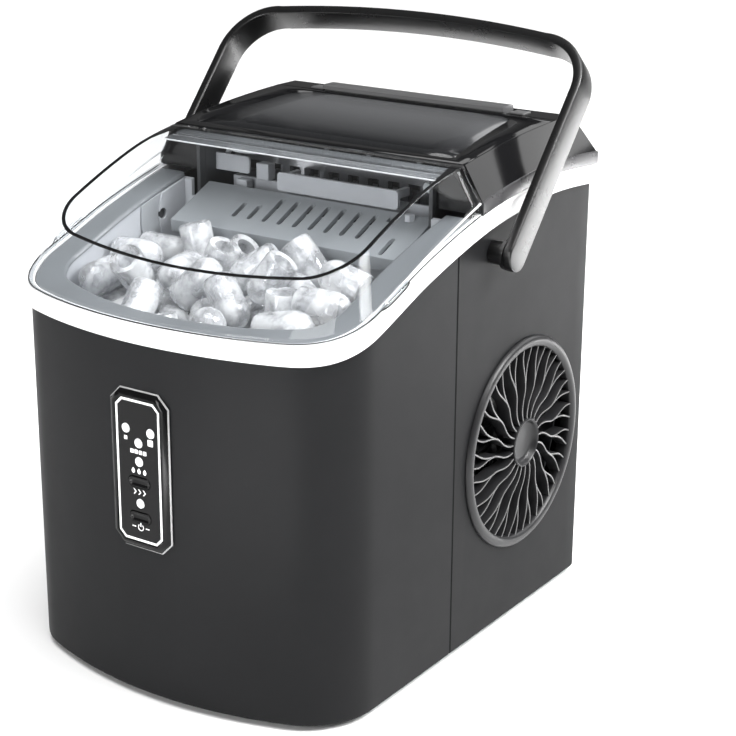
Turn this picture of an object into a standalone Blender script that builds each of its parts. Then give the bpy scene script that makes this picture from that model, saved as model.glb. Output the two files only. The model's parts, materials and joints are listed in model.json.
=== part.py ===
"""Countertop bullet-ice maker with a carrying handle.

Lengths in this file are millimetres and are scaled to metres when a mesh is made.
+X is the user's right, the front faces -Y and +Z is up. The origin is on the floor
under the middle of the object's box.
"""
import math

import bmesh
import bpy
from mathutils import Matrix, Vector

MM = 0.001
GAP = 0.3                      # clearance between neighbouring pieces

# ---- cabinet plan ---------------------------------------------------------------
HALF_W = 111.0                 # half width of the painted cabinet
HALF_D = 142.5                 # half depth of the painted cabinet
FRONT_BOW = 27.0               # how far the front bulges between its corners
FRONT_R = 42.0                 # front corner radius
REAR_R = 5.0                   # rear corner radius
WALL = 2.5                     # cabinet wall
BODY_BASE = 3.2                # underside of cabinet and base pan
SEAM_Y = -9.0                  # joint between front shell and rear shell

# ---- levels ---------------------------------------------------------------------
# lower edge of the white band, (y, z), front to back
BAND_CURVE = [(-150, 206), (-118, 206.5), (-84, 217.5), (-41, 233), (12.5, 247),
              (53.5, 252.8), (94.4, 255.5), (150, 252)]
BAND_H = 11.0
BAND_PROUD = 3.0
LEDGE_H = 7.8                  # upright ledge above the band on the rear housing
# fold line between the lid's top and its sloping skirt, (y, z)
LID_CURVE = [(-116, 238.5), (-100, 248), (-80, 257.5), (-50, 269.5), (-20, 279),
             (12, 284.5), (60, 290), (120, 293), (150, 292)]
LID_HALF_W = 100.4
LID_FRONT = -113.3
LID_R = 29.0
LID_BOW = 12.0
LID_SPLIT_Y = 12.0             # rear edge of the clear lid

# ---- moving pieces --------------------------------------------------------------
LID_AXIS = (0.0, 119.0, 290.0)
HANDLE_AXIS = (0.0, 26.8, 234.8)
HANDLE_TILT = math.radians(48.8)
TRAY_AXIS = (0.0, 54.0, 250.0)
FAN_AXIS = (0.0, 66.7, 110.9)
PUMP_AXIS = (60.0, -30.0, 0.0)
DRAIN_AXIS = (74.0, 0.0, 24.0)
INLET_CENTRE = (-80.0, 0.0, 24.0)
PANEL_Z = 135.5                # centre height of the control panel
BUTTON_Z = {"select_button": 129.5, "power_button": 109.5}

# ---- reach of the cutters, past the wall that each one opens ---------------------
THROUGH_FRONT = (-150.0, -125.0)
THROUGH_REAR = (130.0, 150.0)
THROUGH_RIGHT = (100.0, 120.0)
THROUGH_LEFT = (-120.0, -100.0)


# ================================ helpers ========================================
def smooth_curve(points):
    """Return f(t) passing smoothly through (t, value) points."""
    def slope(i):
        lo, hi = max(i - 1, 0), min(i + 1, len(points) - 1)
        return (points[hi][1] - points[lo][1]) / (points[hi][0] - points[lo][0])

    def value(t):
        i = 0
        while i < len(points) - 2 and t > points[i + 1][0]:
            i += 1
        (t0, v0), (t1, v1) = points[i], points[i + 1]
        span = t1 - t0
        s = min(max((t - t0) / span, 0.0), 1.0)
        s2, s3 = s * s, s * s * s
        return ((2 * s3 - 3 * s2 + 1) * v0 + (s3 - 2 * s2 + s) * span * slope(i)
                + (3 * s2 - 2 * s3) * v1 + (s3 - s2) * span * slope(i + 1))
    return value


band_z = smooth_curve(BAND_CURVE)
lid_z = smooth_curve(LID_CURVE)


def clear_scene():
    for ob in list(bpy.data.objects):
        bpy.data.objects.remove(ob, do_unlink=True)


def material(name, colour, rough=0.5, metal=0.0, alpha=1.0):
    mat = bpy.data.materials.new(name)
    mat.use_nodes = True
    bsdf = mat.node_tree.nodes["Principled BSDF"]
    bsdf.inputs["Base Color"].default_value = (*colour, 1.0)
    bsdf.inputs["Roughness"].default_value = rough
    bsdf.inputs["Metallic"].default_value = metal
    bsdf.inputs["Alpha"].default_value = alpha
    return mat


def finish(name, bm, mat, origin=(0, 0, 0), smooth=False):
    """Turn a mesh built in world millimetres into an object placed at origin."""
    bmesh.ops.remove_doubles(bm, verts=bm.verts, dist=1e-4)
    bmesh.ops.recalc_face_normals(bm, faces=bm.faces)
    shift = Vector(origin)
    for v in bm.verts:
        v.co = (v.co - shift) * MM
    mesh = bpy.data.meshes.new(name)
    bm.to_mesh(mesh)
    bm.free()
    if smooth:
        mesh.shade_smooth()
        mesh.set_sharp_from_angle(angle=math.radians(32))
    mesh.materials.append(mat)
    ob = bpy.data.objects.new(name, mesh)
    ob.location = shift * MM
    bpy.context.scene.collection.objects.link(ob)
    return ob


def as_cutter(name, bm):
    ob = finish(name, bm, CUTTER_MAT)
    ob.hide_render = True
    ob.display_type = "WIRE"
    return ob


def boolean(ob, tool, operation="DIFFERENCE"):
    mod = ob.modifiers.new(tool.name, "BOOLEAN")
    mod.object = tool
    mod.operation = operation
    mod.solver = "EXACT"
    return ob


def add_box(bm, low, high):
    made = bmesh.ops.create_cube(bm, size=1.0)
    for v in made["verts"]:
        v.co = Vector([low[k] + (v.co[k] + 0.5) * (high[k] - low[k]) for k in range(3)])
    return made["verts"]


def axis_matrix(axis, centre):
    turn = {"X": Matrix.Rotation(math.pi / 2, 4, "Y"), "Y": Matrix.Rotation(-math.pi / 2, 4, "X"),
            "Z": Matrix.Identity(4)}[axis]
    return Matrix.Translation(Vector(centre)) @ turn


def add_turned(bm, axis, centre, profile, sides=32):
    """Turn a closed profile of (radius, distance along axis) points about an axis."""
    place = axis_matrix(axis, centre)
    rings = []
    for r, h in profile:
        if r < 1e-6:
            rings.append([bm.verts.new(place @ Vector((0, 0, h)))])
            continue
        ring = []
        for k in range(sides):
            a = 2 * math.pi * k / sides
            ring.append(bm.verts.new(place @ Vector((r * math.cos(a), r * math.sin(a), h))))
        rings.append(ring)
    count = len(rings)
    for i in range(count):
        a, b = rings[i], rings[(i + 1) % count]
        if len(a) == 1 and len(b) == 1:
            continue
        for k in range(sides):
            n = (k + 1) % sides
            if len(a) == 1:
                bm.faces.new((a[0], b[k], b[n]))
            elif len(b) == 1:
                bm.faces.new((a[k], b[0], a[n]))
            else:
                bm.faces.new((a[k], b[k], b[n], a[n]))


def add_rod(bm, axis, centre, radius, start, end, sides=24):
    add_turned(bm, axis, centre, [(0, start), (radius, start), (radius, end), (0, end)], sides)


def add_prism(bm, points, axis, start, end):
    """Extrude a flat outline; its two coordinates are the axes other than `axis`, in order."""
    k = "XYZ".index(axis)

    def place(p, d):
        co = [p[0], p[1]]
        co.insert(k, d)
        return bm.verts.new(co)
    low = [place(p, start) for p in points]
    high = [place(p, end) for p in points]
    bm.faces.new(low)
    bm.faces.new(list(reversed(high)))
    for i in range(len(points)):
        j = (i + 1) % len(points)
        bm.faces.new((low[i], high[i], high[j], low[j]))


def add_strip(bm, sections, closed):
    """Join equal cross-sections, each a list of points, into one solid."""
    rows = [[bm.verts.new(p) for p in sec] for sec in sections]
    steps = len(rows) if closed else len(rows) - 1
    size = len(rows[0])
    for i in range(steps):
        a, b = rows[i], rows[(i + 1) % len(rows)]
        for k in range(size):
            n = (k + 1) % size
            bm.faces.new((a[k], b[k], b[n], a[n]))
    if not closed:
        bm.faces.new(rows[0])
        bm.faces.new(list(reversed(rows[-1])))


def solid(name, mat, build, origin=(0, 0, 0), smooth=False):
    bm = bmesh.new()
    build(bm)
    return finish(name, bm, mat, origin, smooth)


def cutter(name, build):
    bm = bmesh.new()
    build(bm)
    return as_cutter(name, bm)


def rounded_rect(half_u, half_v, radius, seg=5, centre=(0, 0)):
    pts = []
    for q, (su, sv) in enumerate(((1, 1), (-1, 1), (-1, -1), (1, -1))):
        for k in range(seg + 1):
            a = math.pi / 2 * (q + k / seg)
            pts.append((centre[0] + su * (half_u - radius) + radius * math.cos(a),
                        centre[1] + sv * (half_v - radius) + radius * math.sin(a)))
    return pts


def tube(name, route, radius, mat, per_leg=3):
    """A round tube on a smooth curve through the route's points."""
    pts = [Vector(p) for p in route]
    path = []
    for i in range(len(pts) - 1):
        p0 = pts[max(i - 1, 0)]
        p1, p2 = pts[i], pts[i + 1]
        p3 = pts[min(i + 2, len(pts) - 1)]
        for k in range(per_leg):
            t = k / per_leg
            path.append(0.5 * (2 * p1 + (p2 - p0) * t + (2 * p0 - 5 * p1 + 4 * p2 - p3) * t * t
                               + (3 * p1 - p0 - 3 * p2 + p3) * t ** 3))
    path.append(pts[-1])
    curve = bpy.data.curves.new(name, "CURVE")
    curve.dimensions = "3D"
    curve.bevel_depth = radius * MM
    curve.bevel_resolution = 2
    curve.use_fill_caps = True
    spline = curve.splines.new("POLY")
    spline.points.add(len(path) - 1)
    for point, co in zip(spline.points, path):
        point.co = (*(co * MM), 1.0)
    curve.materials.append(mat)
    ob = bpy.data.objects.new(name, curve)
    bpy.context.scene.collection.objects.link(ob)
    return ob


# ============================ cabinet outline ====================================
def front_path(y_end, half_w=HALF_W, front=-HALF_D, bow=FRONT_BOW, radius=FRONT_R,
               sides=6, arcs=5, across=10):
    """Stations (x, y, nx, ny) from the right side at y_end round the front to the left."""
    touch = half_w - radius
    for _ in range(30):
        slope = 2 * bow * touch / half_w ** 2
        touch = half_w - radius + radius * slope / math.hypot(1, slope)
    arc_y = front + bow * (touch / half_w) ** 2 + radius / math.hypot(1, slope)
    last = math.atan2(1.0, slope)
    right = [(half_w, y_end + (arc_y - y_end) * k / sides, 1.0, 0.0) for k in range(sides)]
    for k in range(arcs):
        a = last * k / arcs
        right.append((half_w - radius + radius * math.cos(a), arc_y - radius * math.sin(a),
                      math.cos(a), -math.sin(a)))
    for k in range(across // 2):
        x = touch * (1 - 2 * k / across)
        s = 2 * bow * x / half_w ** 2
        right.append((x, front + bow * (x / half_w) ** 2, s / math.hypot(1, s), -1 / math.hypot(1, s)))
    left = [(-x, y, -nx, ny) for x, y, nx, ny in reversed(right)]
    return right + [(0.0, front, 0.0, -1.0)] + left


def rear_path(y_end, radius=REAR_R, sides=6, arcs=2):
    """Stations from the left side at y_end round the back to the right."""
    arc_y = HALF_D - radius
    left = [(-HALF_W, y_end + (arc_y - y_end) * k / sides, -1.0, 0.0) for k in range(sides)]
    for k in range(arcs + 1):
        a = math.pi / 2 * k / arcs
        left.append((-HALF_W + radius - radius * math.cos(a), arc_y + radius * math.sin(a),
                     -math.cos(a), math.sin(a)))
    right = [(-x, y, -nx, ny) for x, y, nx, ny in reversed(left)]
    return left + right


def section(station, profile):
    """Profile points are (distance in from the cabinet face, height or height of y)."""
    x, y, nx, ny = station
    pts = []
    for inset, level in profile:
        px, py = x - inset * nx, y - inset * ny
        pts.append((px, py, level(py) if callable(level) else level))
    return pts


def above_band(rise):
    return lambda y: band_z(y) + rise


def plan_outline(inset, y_front=SEAM_Y):
    pts = []
    for x, y, nx, ny in front_path(y_front) + rear_path(y_front):
        pts.append((x - inset * nx, y - inset * ny))
    return pts


# ============================== materials ========================================
CUTTER_MAT = material("cutter", (1, 0, 0))
PAINT = material("charcoal_paint", (0.040, 0.041, 0.043), 0.42)
WHITE = material("white_plastic", (0.90, 0.90, 0.90), 0.3)
GREY = material("grey_plastic", (0.36, 0.38, 0.40), 0.45)
BLACK = material("black_gloss_plastic", (0.015, 0.015, 0.016), 0.15)
BLACK_SATIN = material("black_satin_plastic", (0.022, 0.022, 0.024), 0.38)
DARK = material("dark_plastic", (0.05, 0.052, 0.055), 0.5)
CLEAR = material("clear_plastic", (0.85, 0.87, 0.88), 0.05, 0.0, 0.35)
SMOKE = material("smoked_plastic", (0.06, 0.065, 0.07), 0.08, 0.0, 0.35)
RUBBER = material("black_rubber", (0.02, 0.02, 0.02), 0.8)
STEEL = material("steel", (0.55, 0.55, 0.56), 0.3, 1.0)
COPPER = material("copper", (0.72, 0.36, 0.22), 0.3, 1.0)
ALUMINIUM = material("aluminium", (0.75, 0.76, 0.78), 0.4, 1.0)
COMPRESSOR_PAINT = material("compressor_paint", (0.012, 0.012, 0.012), 0.35)
BOARD = material("circuit_board", (0.02, 0.16, 0.06), 0.5)
LAMP = material("lamp_white", (0.85, 0.86, 0.88), 0.25)
TUBE_CLEAR = material("clear_hose", (0.75, 0.78, 0.8), 0.2, 0.0, 0.35)


# =============================== cabinet =========================================
PANEL_W, PANEL_H, PANEL_CUT = 40.0, 90.0, 7.0
PANEL_HOLE_INSET = 1.7
GRILLE_HOLE_R = 58.0
DRAIN_HOLE_R = 10.0
INLET_HOLE_R = 7.2
SEAM_HALF = 0.2                # half the joint between the two shells
SLOT_COUNT = 9
SLOT_W = 3.2
SIDE_SLOTS_Y = (34.0, 106.0)   # exhaust slots on the left side
SIDE_SLOT_LOW, SIDE_SLOT_PITCH = 58.0, 7.5
REAR_SLOTS_Z = (66.0, 116.0)
REAR_SLOT_X, REAR_SLOT_PITCH = -32.0, 8.0
SHELL_PROFILE = [(0, BODY_BASE), (0, lambda y: band_z(y) - GAP), (WALL, lambda y: band_z(y) - GAP),
                 (WALL, BODY_BASE)]


def octagon(inset):
    w, h = PANEL_W / 2 - inset, PANEL_H / 2 - inset
    c = PANEL_CUT - inset * (2 - math.sqrt(2))
    half = [(w, -h + c), (w, h - c), (w - c, h), (-w + c, h)]
    return half + [(-u, -v) for u, v in half]


def panel_points(inset):
    return [(u, PANEL_Z + v) for u, v in octagon(inset)]


def swept(path, profile, closed=False):
    """Builder for a profile carried along the cabinet's outline."""
    return lambda bm: add_strip(bm, [section(s, profile) for s in path], closed)


def build_front_shell():
    shell = solid("front_shell", PAINT, swept(front_path(SEAM_Y - SEAM_HALF), SHELL_PROFILE), smooth=True)

    def panel_hole(bm):
        add_prism(bm, panel_points(PANEL_HOLE_INSET), "Y", *THROUGH_FRONT)
    boolean(shell, cutter("cut_panel", panel_hole))


def build_rear_shell():
    shell = solid("rear_shell", PAINT, swept(rear_path(SEAM_Y + SEAM_HALF), SHELL_PROFILE), smooth=True)

    def openings(bm):
        add_rod(bm, "X", FAN_AXIS, GRILLE_HOLE_R, *THROUGH_RIGHT, 36)
        add_rod(bm, "Y", DRAIN_AXIS, DRAIN_HOLE_R, *THROUGH_REAR)
        add_rod(bm, "Y", INLET_CENTRE, INLET_HOLE_R, *THROUGH_REAR)
        for k in range(SLOT_COUNT):
            z = SIDE_SLOT_LOW + SIDE_SLOT_PITCH * k
            add_box(bm, (THROUGH_LEFT[0], SIDE_SLOTS_Y[0], z), (THROUGH_LEFT[1], SIDE_SLOTS_Y[1], z + SLOT_W))
            x = REAR_SLOT_X + REAR_SLOT_PITCH * k - SLOT_W / 2
            add_box(bm, (x, THROUGH_REAR[0], REAR_SLOTS_Z[0]), (x + SLOT_W, THROUGH_REAR[1], REAR_SLOTS_Z[1]))
    boolean(shell, cutter("cut_rear_openings", openings))


BAND_EDGE = 1.2                # height of the band's bevelled edges
BAND_EDGE_IN = 0.6
BAND_INSIDE = 2.4
BEZEL_OUT, BEZEL_IN = 2.8, 20.0
BEZEL_LOW, BEZEL_TOP = 8.2, 10.7
BEZEL_REAR = 7.6
PAN_T = 3.0
FOOT_R, FOOT_BEVEL = 10.0, 1.0
FEET = {"foot_front_left": (-80, -100), "foot_front_right": (80, -100),
        "foot_rear_left": (-90, 120), "foot_rear_right": (90, 120)}


def build_band():
    edge = BAND_EDGE_IN - BAND_PROUD
    low, high, top = above_band(BAND_EDGE), above_band(BAND_H - BAND_EDGE), above_band(BAND_H)
    profile = [(edge, band_z), (-BAND_PROUD, low), (-BAND_PROUD, high), (edge, top), (BAND_INSIDE, top),
               (BAND_INSIDE, band_z)]
    path = front_path(SEAM_Y) + rear_path(SEAM_Y)[1:-1]
    solid("trim_band", WHITE, swept(path, profile, True), smooth=True)


def build_bezel():
    profile = [(BEZEL_OUT, above_band(BEZEL_LOW)), (BEZEL_OUT, above_band(BEZEL_TOP)),
               (BEZEL_IN, above_band(BEZEL_TOP)), (BEZEL_IN, above_band(BEZEL_LOW))]
    solid("top_bezel", GREY, swept(front_path(BEZEL_REAR), profile), smooth=True)


def build_base():
    def pan(bm):
        add_prism(bm, plan_outline(WALL + 0.5), "Z", BODY_BASE, BODY_BASE + PAN_T)
    solid("base_pan", DARK, pan)
    top = BODY_BASE - GAP
    profile = [(0, 0), (FOOT_R - FOOT_BEVEL, 0), (FOOT_R, FOOT_BEVEL), (FOOT_R, top), (0, top)]
    for name, (x, y) in FEET.items():
        solid(name, RUBBER, lambda bm: add_turned(bm, "Z", (x, y, 0), profile, 20))


# ---- rear housing, hinge --------------------------------------------------------
WING_INSET = 28.0              # housing's inner wall, in from the cabinet face
DECK_DROP = 3.6                # recess that the lid frame lies in
LID_REAR = 113.0
POCKET_R, POCKET_HALF = 9.8, 67.0
PIN_R, PIN_CLEAR, PIN_HALF = 2.0, 0.1, 79.6
BAR_HALF = 65.0
BARREL_R = 5.4


def build_rear_housing():
    def profile(rear):
        recess = 27.9 if rear else 11.2
        floor = recess + 0.05
        return [(-2.0, above_band(BAND_H + GAP)), (-2.0, above_band(BAND_H + LEDGE_H)),
                (10.5, lid_z), (recess, lid_z), (floor, lambda y: lid_z(y) - DECK_DROP),
                (WING_INSET, lambda y: lid_z(y) - DECK_DROP), (WING_INSET, above_band(BAND_H + GAP))]
    right = []
    side_steps = 9
    start, stop = LID_SPLIT_Y + GAP, LID_REAR + 1.0
    for k in range(side_steps + 1):
        y = start + (stop - start) * k / side_steps
        right.append(section((HALF_W, y, 1, 0), profile(False)))
    right.append(section((HALF_W, stop + 0.3, 1, 0), profile(True)))
    right.append(section((HALF_W, HALF_D, 1, 1), profile(True)))
    left = [[(-x, y, z) for x, y, z in sec] for sec in reversed(right)]
    housing = solid("rear_housing", BLACK, lambda bm: add_strip(bm, right + left, False), smooth=True)

    def pocket(bm):
        add_rod(bm, "X", LID_AXIS, POCKET_R, -POCKET_HALF, POCKET_HALF, 32)
    boolean(housing, cutter("cut_hinge_pocket", pocket))

    def bores(bm):
        add_rod(bm, "X", LID_AXIS, PIN_R + PIN_CLEAR, -PIN_HALF - GAP - 0.1, PIN_HALF + GAP + 0.1, 16)
    boolean(housing, cutter("cut_pin_bores", bores))


def build_hinge():
    outline = [(112.4, 293.8), (113.4, 296.6), (124.6, 296.6), (125.8, 295.0), (125.8, 292.6), (119.0, 292.0),
               (113.6, 293.8)]
    bar = solid("hinge_bar", BLACK, lambda bm: add_prism(bm, outline, "X", -BAR_HALF, BAR_HALF), LID_AXIS)

    def barrel(bm):
        add_rod(bm, "X", LID_AXIS, BARREL_R, 0.5 - BAR_HALF, BAR_HALF - 0.5, 24)

    def bore(bm):
        add_rod(bm, "X", LID_AXIS, PIN_R + PIN_CLEAR, -BAR_HALF - 5, BAR_HALF + 5, 16)
    boolean(bar, cutter("add_barrel", barrel), "UNION")
    boolean(bar, cutter("cut_barrel_bore", bore))

    def pin(bm):
        add_rod(bm, "X", LID_AXIS, PIN_R, -PIN_HALF, PIN_HALF, 16)
    solid("hinge_pin", STEEL, pin, smooth=True)


# ================================= lid ===========================================
LID_WALL = 2.2
FRAME_T = 2.4


def add_paired_sheet(bm, rows):
    """A sheet whose rows are lists of points; consecutive rows are joined."""
    made = [[bm.verts.new(p) for p in row] for row in rows]
    for a, b in zip(made, made[1:]):
        for k in range(len(a) - 1):
            quad = []
            for v in (a[k], a[k + 1], b[k + 1], b[k]):
                if all((v.co - q.co).length > 1e-4 for q in quad):
                    quad.append(v)
            if len(quad) > 2:
                bm.faces.new(quad)


def thicken(ob, thickness):
    """Give a sheet its wall, on the underside of its upward-facing side."""
    mesh = ob.data
    if sum(p.normal.z * p.area for p in mesh.polygons) < 0:
        mesh.flip_normals()
    mod = ob.modifiers.new("wall", "SOLIDIFY")
    mod.thickness = thickness * MM
    mod.offset = -1.0
    mod.use_even_offset = True


def build_lid_shell():
    rim = front_path(LID_SPLIT_Y - 0.6)
    crest = front_path(LID_SPLIT_Y - 0.6, LID_HALF_W, LID_FRONT, LID_BOW, LID_R)

    def rim_height(y):
        return 3.0 + 5.0 * min(max((y + 75) / 87, 0), 1) ** 1.5
    rows = []
    for r, c in zip(rim, crest):
        x, y = r[0] + 0.9 * r[2], r[1] + 0.9 * r[3]
        low = band_z(y - 2.6 * r[3]) + BAND_H + GAP
        rows.append([(x, y, low), (x, y, low + rim_height(y)), (c[0], c[1], lid_z(c[1]))])
    half = len(crest) // 2
    tops = [[(c[0], c[1], lid_z(c[1])), (-c[0], c[1], lid_z(c[1]))] for c in crest[:half + 1]]

    def build(bm):
        add_paired_sheet(bm, rows)
        add_paired_sheet(bm, tops)
    shell = solid("lid_shell", CLEAR, build, LID_AXIS)
    thicken(shell, LID_WALL)


def window_outline(inset, seg=4):
    """Right half of the window opening, front to back, as (x, y)."""
    front, rear = 19.0 + inset, 108.0 - inset
    def half_w(y):
        return 89.0 - inset - 13.0 * (y - 19.0) / 89.0
    pts = [(half_w(front), front)]
    for k in range(1, 6):
        y = front + (rear - 12 - front) * k / 5
        pts.append((half_w(y), y))
    corner = half_w(rear) - 12
    for k in range(1, seg + 1):
        a = math.pi / 2 * k / seg
        pts.append((corner + 12 * math.cos(a) + 1.6 * (1 - k / seg), rear - 12 + 12 * math.sin(a)))
    return pts


def build_lid_frame():
    inner = window_outline(0)
    front, rear, half_w = LID_SPLIT_Y + 0.6, LID_REAR, 99.4
    outer = [(half_w, front)]
    for x, y in inner[1:6]:
        outer.append((half_w, y))
    outer += [(half_w, y) for x, y in inner[6:-1]] + [(inner[-1][0], rear)]
    outer[-2] = (half_w, rear)
    ring_out = outer + [(-x, y) for x, y in reversed(outer)]
    ring_in = inner + [(-x, y) for x, y in reversed(inner)]

    def build(bm):
        lift = [[(x, y, lid_z(y)) for x, y in pair] for pair in zip(ring_out, ring_in)]
        add_paired_sheet(bm, lift + lift[:1])
        bmesh.ops.remove_doubles(bm, verts=bm.verts, dist=1e-4)
    frame = solid("lid_frame", BLACK, build, LID_AXIS)
    thicken(frame, FRAME_T)


def build_lid_window():
    outline = window_outline(0.4)
    rows = [[(x, y, lid_z(y) - 0.3), (-x, y, lid_z(y) - 0.3)] for x, y in outline]
    window = solid("lid_window", SMOKE, lambda bm: add_paired_sheet(bm, rows), LID_AXIS)
    thicken(window, 1.8)


# ================================ handle =========================================
HANDLE_HALF_W = 127.4
HANDLE_REACH = 136.6
HANDLE_R = 34.0
HANDLE_T = 5.5
HANDLE_DEPTH = 18.0
HANDLE_CROWN = 5.8


def handle_path():
    """Half path of the strap's outer face, (x, reach, half depth, nx, nr)."""
    tip = HANDLE_DEPTH / 2
    pts = []
    for k in range(1, 6):
        a = math.pi / 2 * k / 5
        pts.append((HANDLE_HALF_W, -tip * math.cos(a), tip * math.sin(a), 1.0, 0.0))
    top = HANDLE_REACH - HANDLE_R
    pts.append((HANDLE_HALF_W, top * 0.5, tip, 1.0, 0.0))
    pts.append((HANDLE_HALF_W, top, tip, 1.0, 0.0))
    for k in range(1, 8):
        a = math.pi / 2 * k / 7
        pts.append((HANDLE_HALF_W - HANDLE_R * (1 - math.cos(a)), top + HANDLE_R * math.sin(a), tip,
                    math.cos(a), math.sin(a)))
    span = HANDLE_HALF_W - HANDLE_R
    for k in range(1, 6):
        u = 1 - k / 5
        pts.append((span * u, HANDLE_REACH + HANDLE_CROWN * (1 - u * u), tip, 0.0, 1.0))
    return pts


def build_handle():
    _, py, pz = HANDLE_AXIS
    along = Vector((0, math.cos(HANDLE_TILT), math.sin(HANDLE_TILT)))
    across = Vector((0, -math.sin(HANDLE_TILT), math.cos(HANDLE_TILT)))
    base = Vector((0, py, pz))

    def corner(x, reach, offset):
        return base + Vector((x, 0, 0)) + along * reach + across * offset
    half = []
    for x, reach, depth, nx, nr in handle_path():
        ix, ireach = x - HANDLE_T * nx, reach - HANDLE_T * nr
        half.append([(x, reach, -depth), (x, reach, depth), (ix, ireach, depth), (ix, ireach, -depth)])
    full = half + [[(-x, r, d) for x, r, d in sec] for sec in reversed(half[:-1])]
    sections = [[corner(*p) for p in sec] for sec in full]
    handle = solid("handle", BLACK_SATIN, lambda bm: add_strip(bm, sections, False), HANDLE_AXIS, True)
    inner = HANDLE_HALF_W - HANDLE_T

    def bores(bm):
        add_rod(bm, "X", (0, py, pz), 3.3, inner - 2, inner + 3.9, 24)
        add_rod(bm, "X", (0, py, pz), 3.3, -inner - 3.9, -inner + 2, 24)
    boolean(handle, cutter("cut_handle_bores", bores))
    for name, side in (("left", -1), ("right", 1)):
        solid("handle_stud_" + name, BLACK_SATIN, lambda bm: add_turned(bm, "X", (0, py, pz), [
            (0, side * (HALF_W + GAP)), (6.5, side * (HALF_W + GAP)), (6.5, side * (inner - 2.3)),
            (8.6, side * (inner - 2.3)), (8.6, side * (inner - GAP)), (3.0, side * (inner - GAP)),
            (3.0, side * (inner + 3.5)), (0, side * (inner + 3.5))], 24), smooth=True)


# ============================= side grille =======================================
GRILLE_R = 63.8
GRILLE_OPEN_R = 55.5
HUB_R = 18.0
VANE_TRUNKS = 21


def vane_angle(radius, lean):
    """Sweep of a vane's centre line, as an S in angle from hub to ring."""
    t = (radius - HUB_R) / (GRILLE_OPEN_R - HUB_R)
    pitch = 2 * math.pi / VANE_TRUNKS
    fork = min(max((t - 0.38) / 0.62, 0), 1)
    return 0.20 * math.sin(2 * math.pi * t * 0.92) - 0.30 * t + lean * pitch / 4 * fork ** 0.7


def build_grille():
    centre = FAN_AXIS

    def blank(bm):
        add_turned(bm, "X", centre, [
            (0, 108.6), (14.0, 108.6), (15.5, 113.0), (HUB_R, 113.0), (HUB_R + 0.3, 109.2),
            (GRILLE_OPEN_R - 0.3, 109.2), (GRILLE_OPEN_R, 113.0), (59.5, 114.2), (GRILLE_R, HALF_W + GAP),
            (57.6, HALF_W + GAP), (57.6, 106.0), (0, 106.0)], 40)
    grille = solid("side_grille", BLACK_SATIN, blank, smooth=True)

    def polar(r, a):
        return (centre[1] + r * math.cos(a), centre[2] + r * math.sin(a))

    def windows(bm):
        pitch = 2 * math.pi / VANE_TRUNKS
        r0, r1 = HUB_R + 1.2, GRILLE_OPEN_R - 1.2
        steps = 4
        long_r = [r0 + (r1 - r0) * k / steps for k in range(steps + 1)]
        fork_r = [r for r in long_r if r > r0 + 0.45 * (r1 - r0)]
        half = 0.85
        for n in range(VANE_TRUNKS):
            a0 = n * pitch
            one = [polar(r, a0 + vane_angle(r, 1) + half / r) for r in long_r]
            two = [polar(r, a0 + pitch + vane_angle(r, -1) - half / r) for r in reversed(long_r)]
            add_prism(bm, one + two, "X", 100, 118)
            one = [polar(r, a0 + vane_angle(r, -1) + half / r) for r in fork_r]
            two = [polar(r, a0 + vane_angle(r, 1) - half / r) for r in reversed(fork_r)]
            add_prism(bm, one + two, "X", 100, 118)
    boolean(grille, cutter("cut_grille_windows", windows))


# ============================ control panel ======================================
PANEL_FRONT = -145.3
FACE_FRONT = -144.9
LEDS = {"size_small_led": (-8.4, 158.5), "size_large_led": (8.4, 158.5), "ice_full_led": (0, 151.5),
        "add_water_led": (0, 141.0), "power_led": (0, 117.3)}
BUTTON_HALF_W, BUTTON_HALF_H, BUTTON_R = 7.2, 3.0, 2.6
BUTTON_FRONT, BUTTON_BACK = -145.3, -138.2
FACE_BACK = -142.9
FACE_INSET = 5.0               # the face plate's edge, in from the bezel's outer edge
LED_R, LED_BACK = 2.7, -137.2
BOARD_Y = (-136.8, -135.2)


def build_panel():
    def ring(inset, y):
        return [(u, y, v) for u, v in panel_points(inset)]
    rings = [ring(0, -142.8), ring(0.5, -143.5), ring(2.0, -144.7), ring(3.4, PANEL_FRONT),
             ring(4.4, PANEL_FRONT), ring(FACE_INSET - GAP, FACE_FRONT), ring(FACE_INSET - GAP, -134),
             ring(2.0, -134), ring(2.0, -142.8)]
    sections = [[r[k] for r in rings] for k in range(len(rings[0]))]
    solid("control_bezel", BLACK, lambda bm: add_strip(bm, sections, True))

    def plate(bm):
        add_prism(bm, panel_points(FACE_INSET), "Y", FACE_FRONT, FACE_BACK)
    face = solid("control_face", BLACK, plate)

    def holes(bm):
        for x, z in LEDS.values():
            add_rod(bm, "Y", (x, 0, z), LED_R + GAP, *THROUGH_FRONT, 12)
        for z in BUTTON_Z.values():
            hole = rounded_rect(BUTTON_HALF_W + GAP, BUTTON_HALF_H + GAP, BUTTON_R + GAP, 4, (0, z))
            add_prism(bm, hole, "Y", *THROUGH_FRONT)
    boolean(face, cutter("cut_panel_holes", holes))
    lens = [(0, -145.4), (1.6, -145.3), (LED_R, -144.8), (LED_R, LED_BACK), (0, LED_BACK)]
    for name, (x, z) in LEDS.items():
        solid(name, LAMP, lambda bm: add_turned(bm, "Y", (x, 0, z), lens, 12), smooth=True)
    for name, z in BUTTON_Z.items():
        outline = rounded_rect(BUTTON_HALF_W, BUTTON_HALF_H, BUTTON_R, 4, (0, z))
        place = (0, BUTTON_BACK, z)
        solid(name, BLACK, lambda bm: add_prism(bm, outline, "Y", BUTTON_FRONT, BUTTON_BACK), place)
    solid("control_board", BOARD, lambda bm: add_prism(bm, panel_points(FACE_INSET), "Y", *BOARD_Y))


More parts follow.
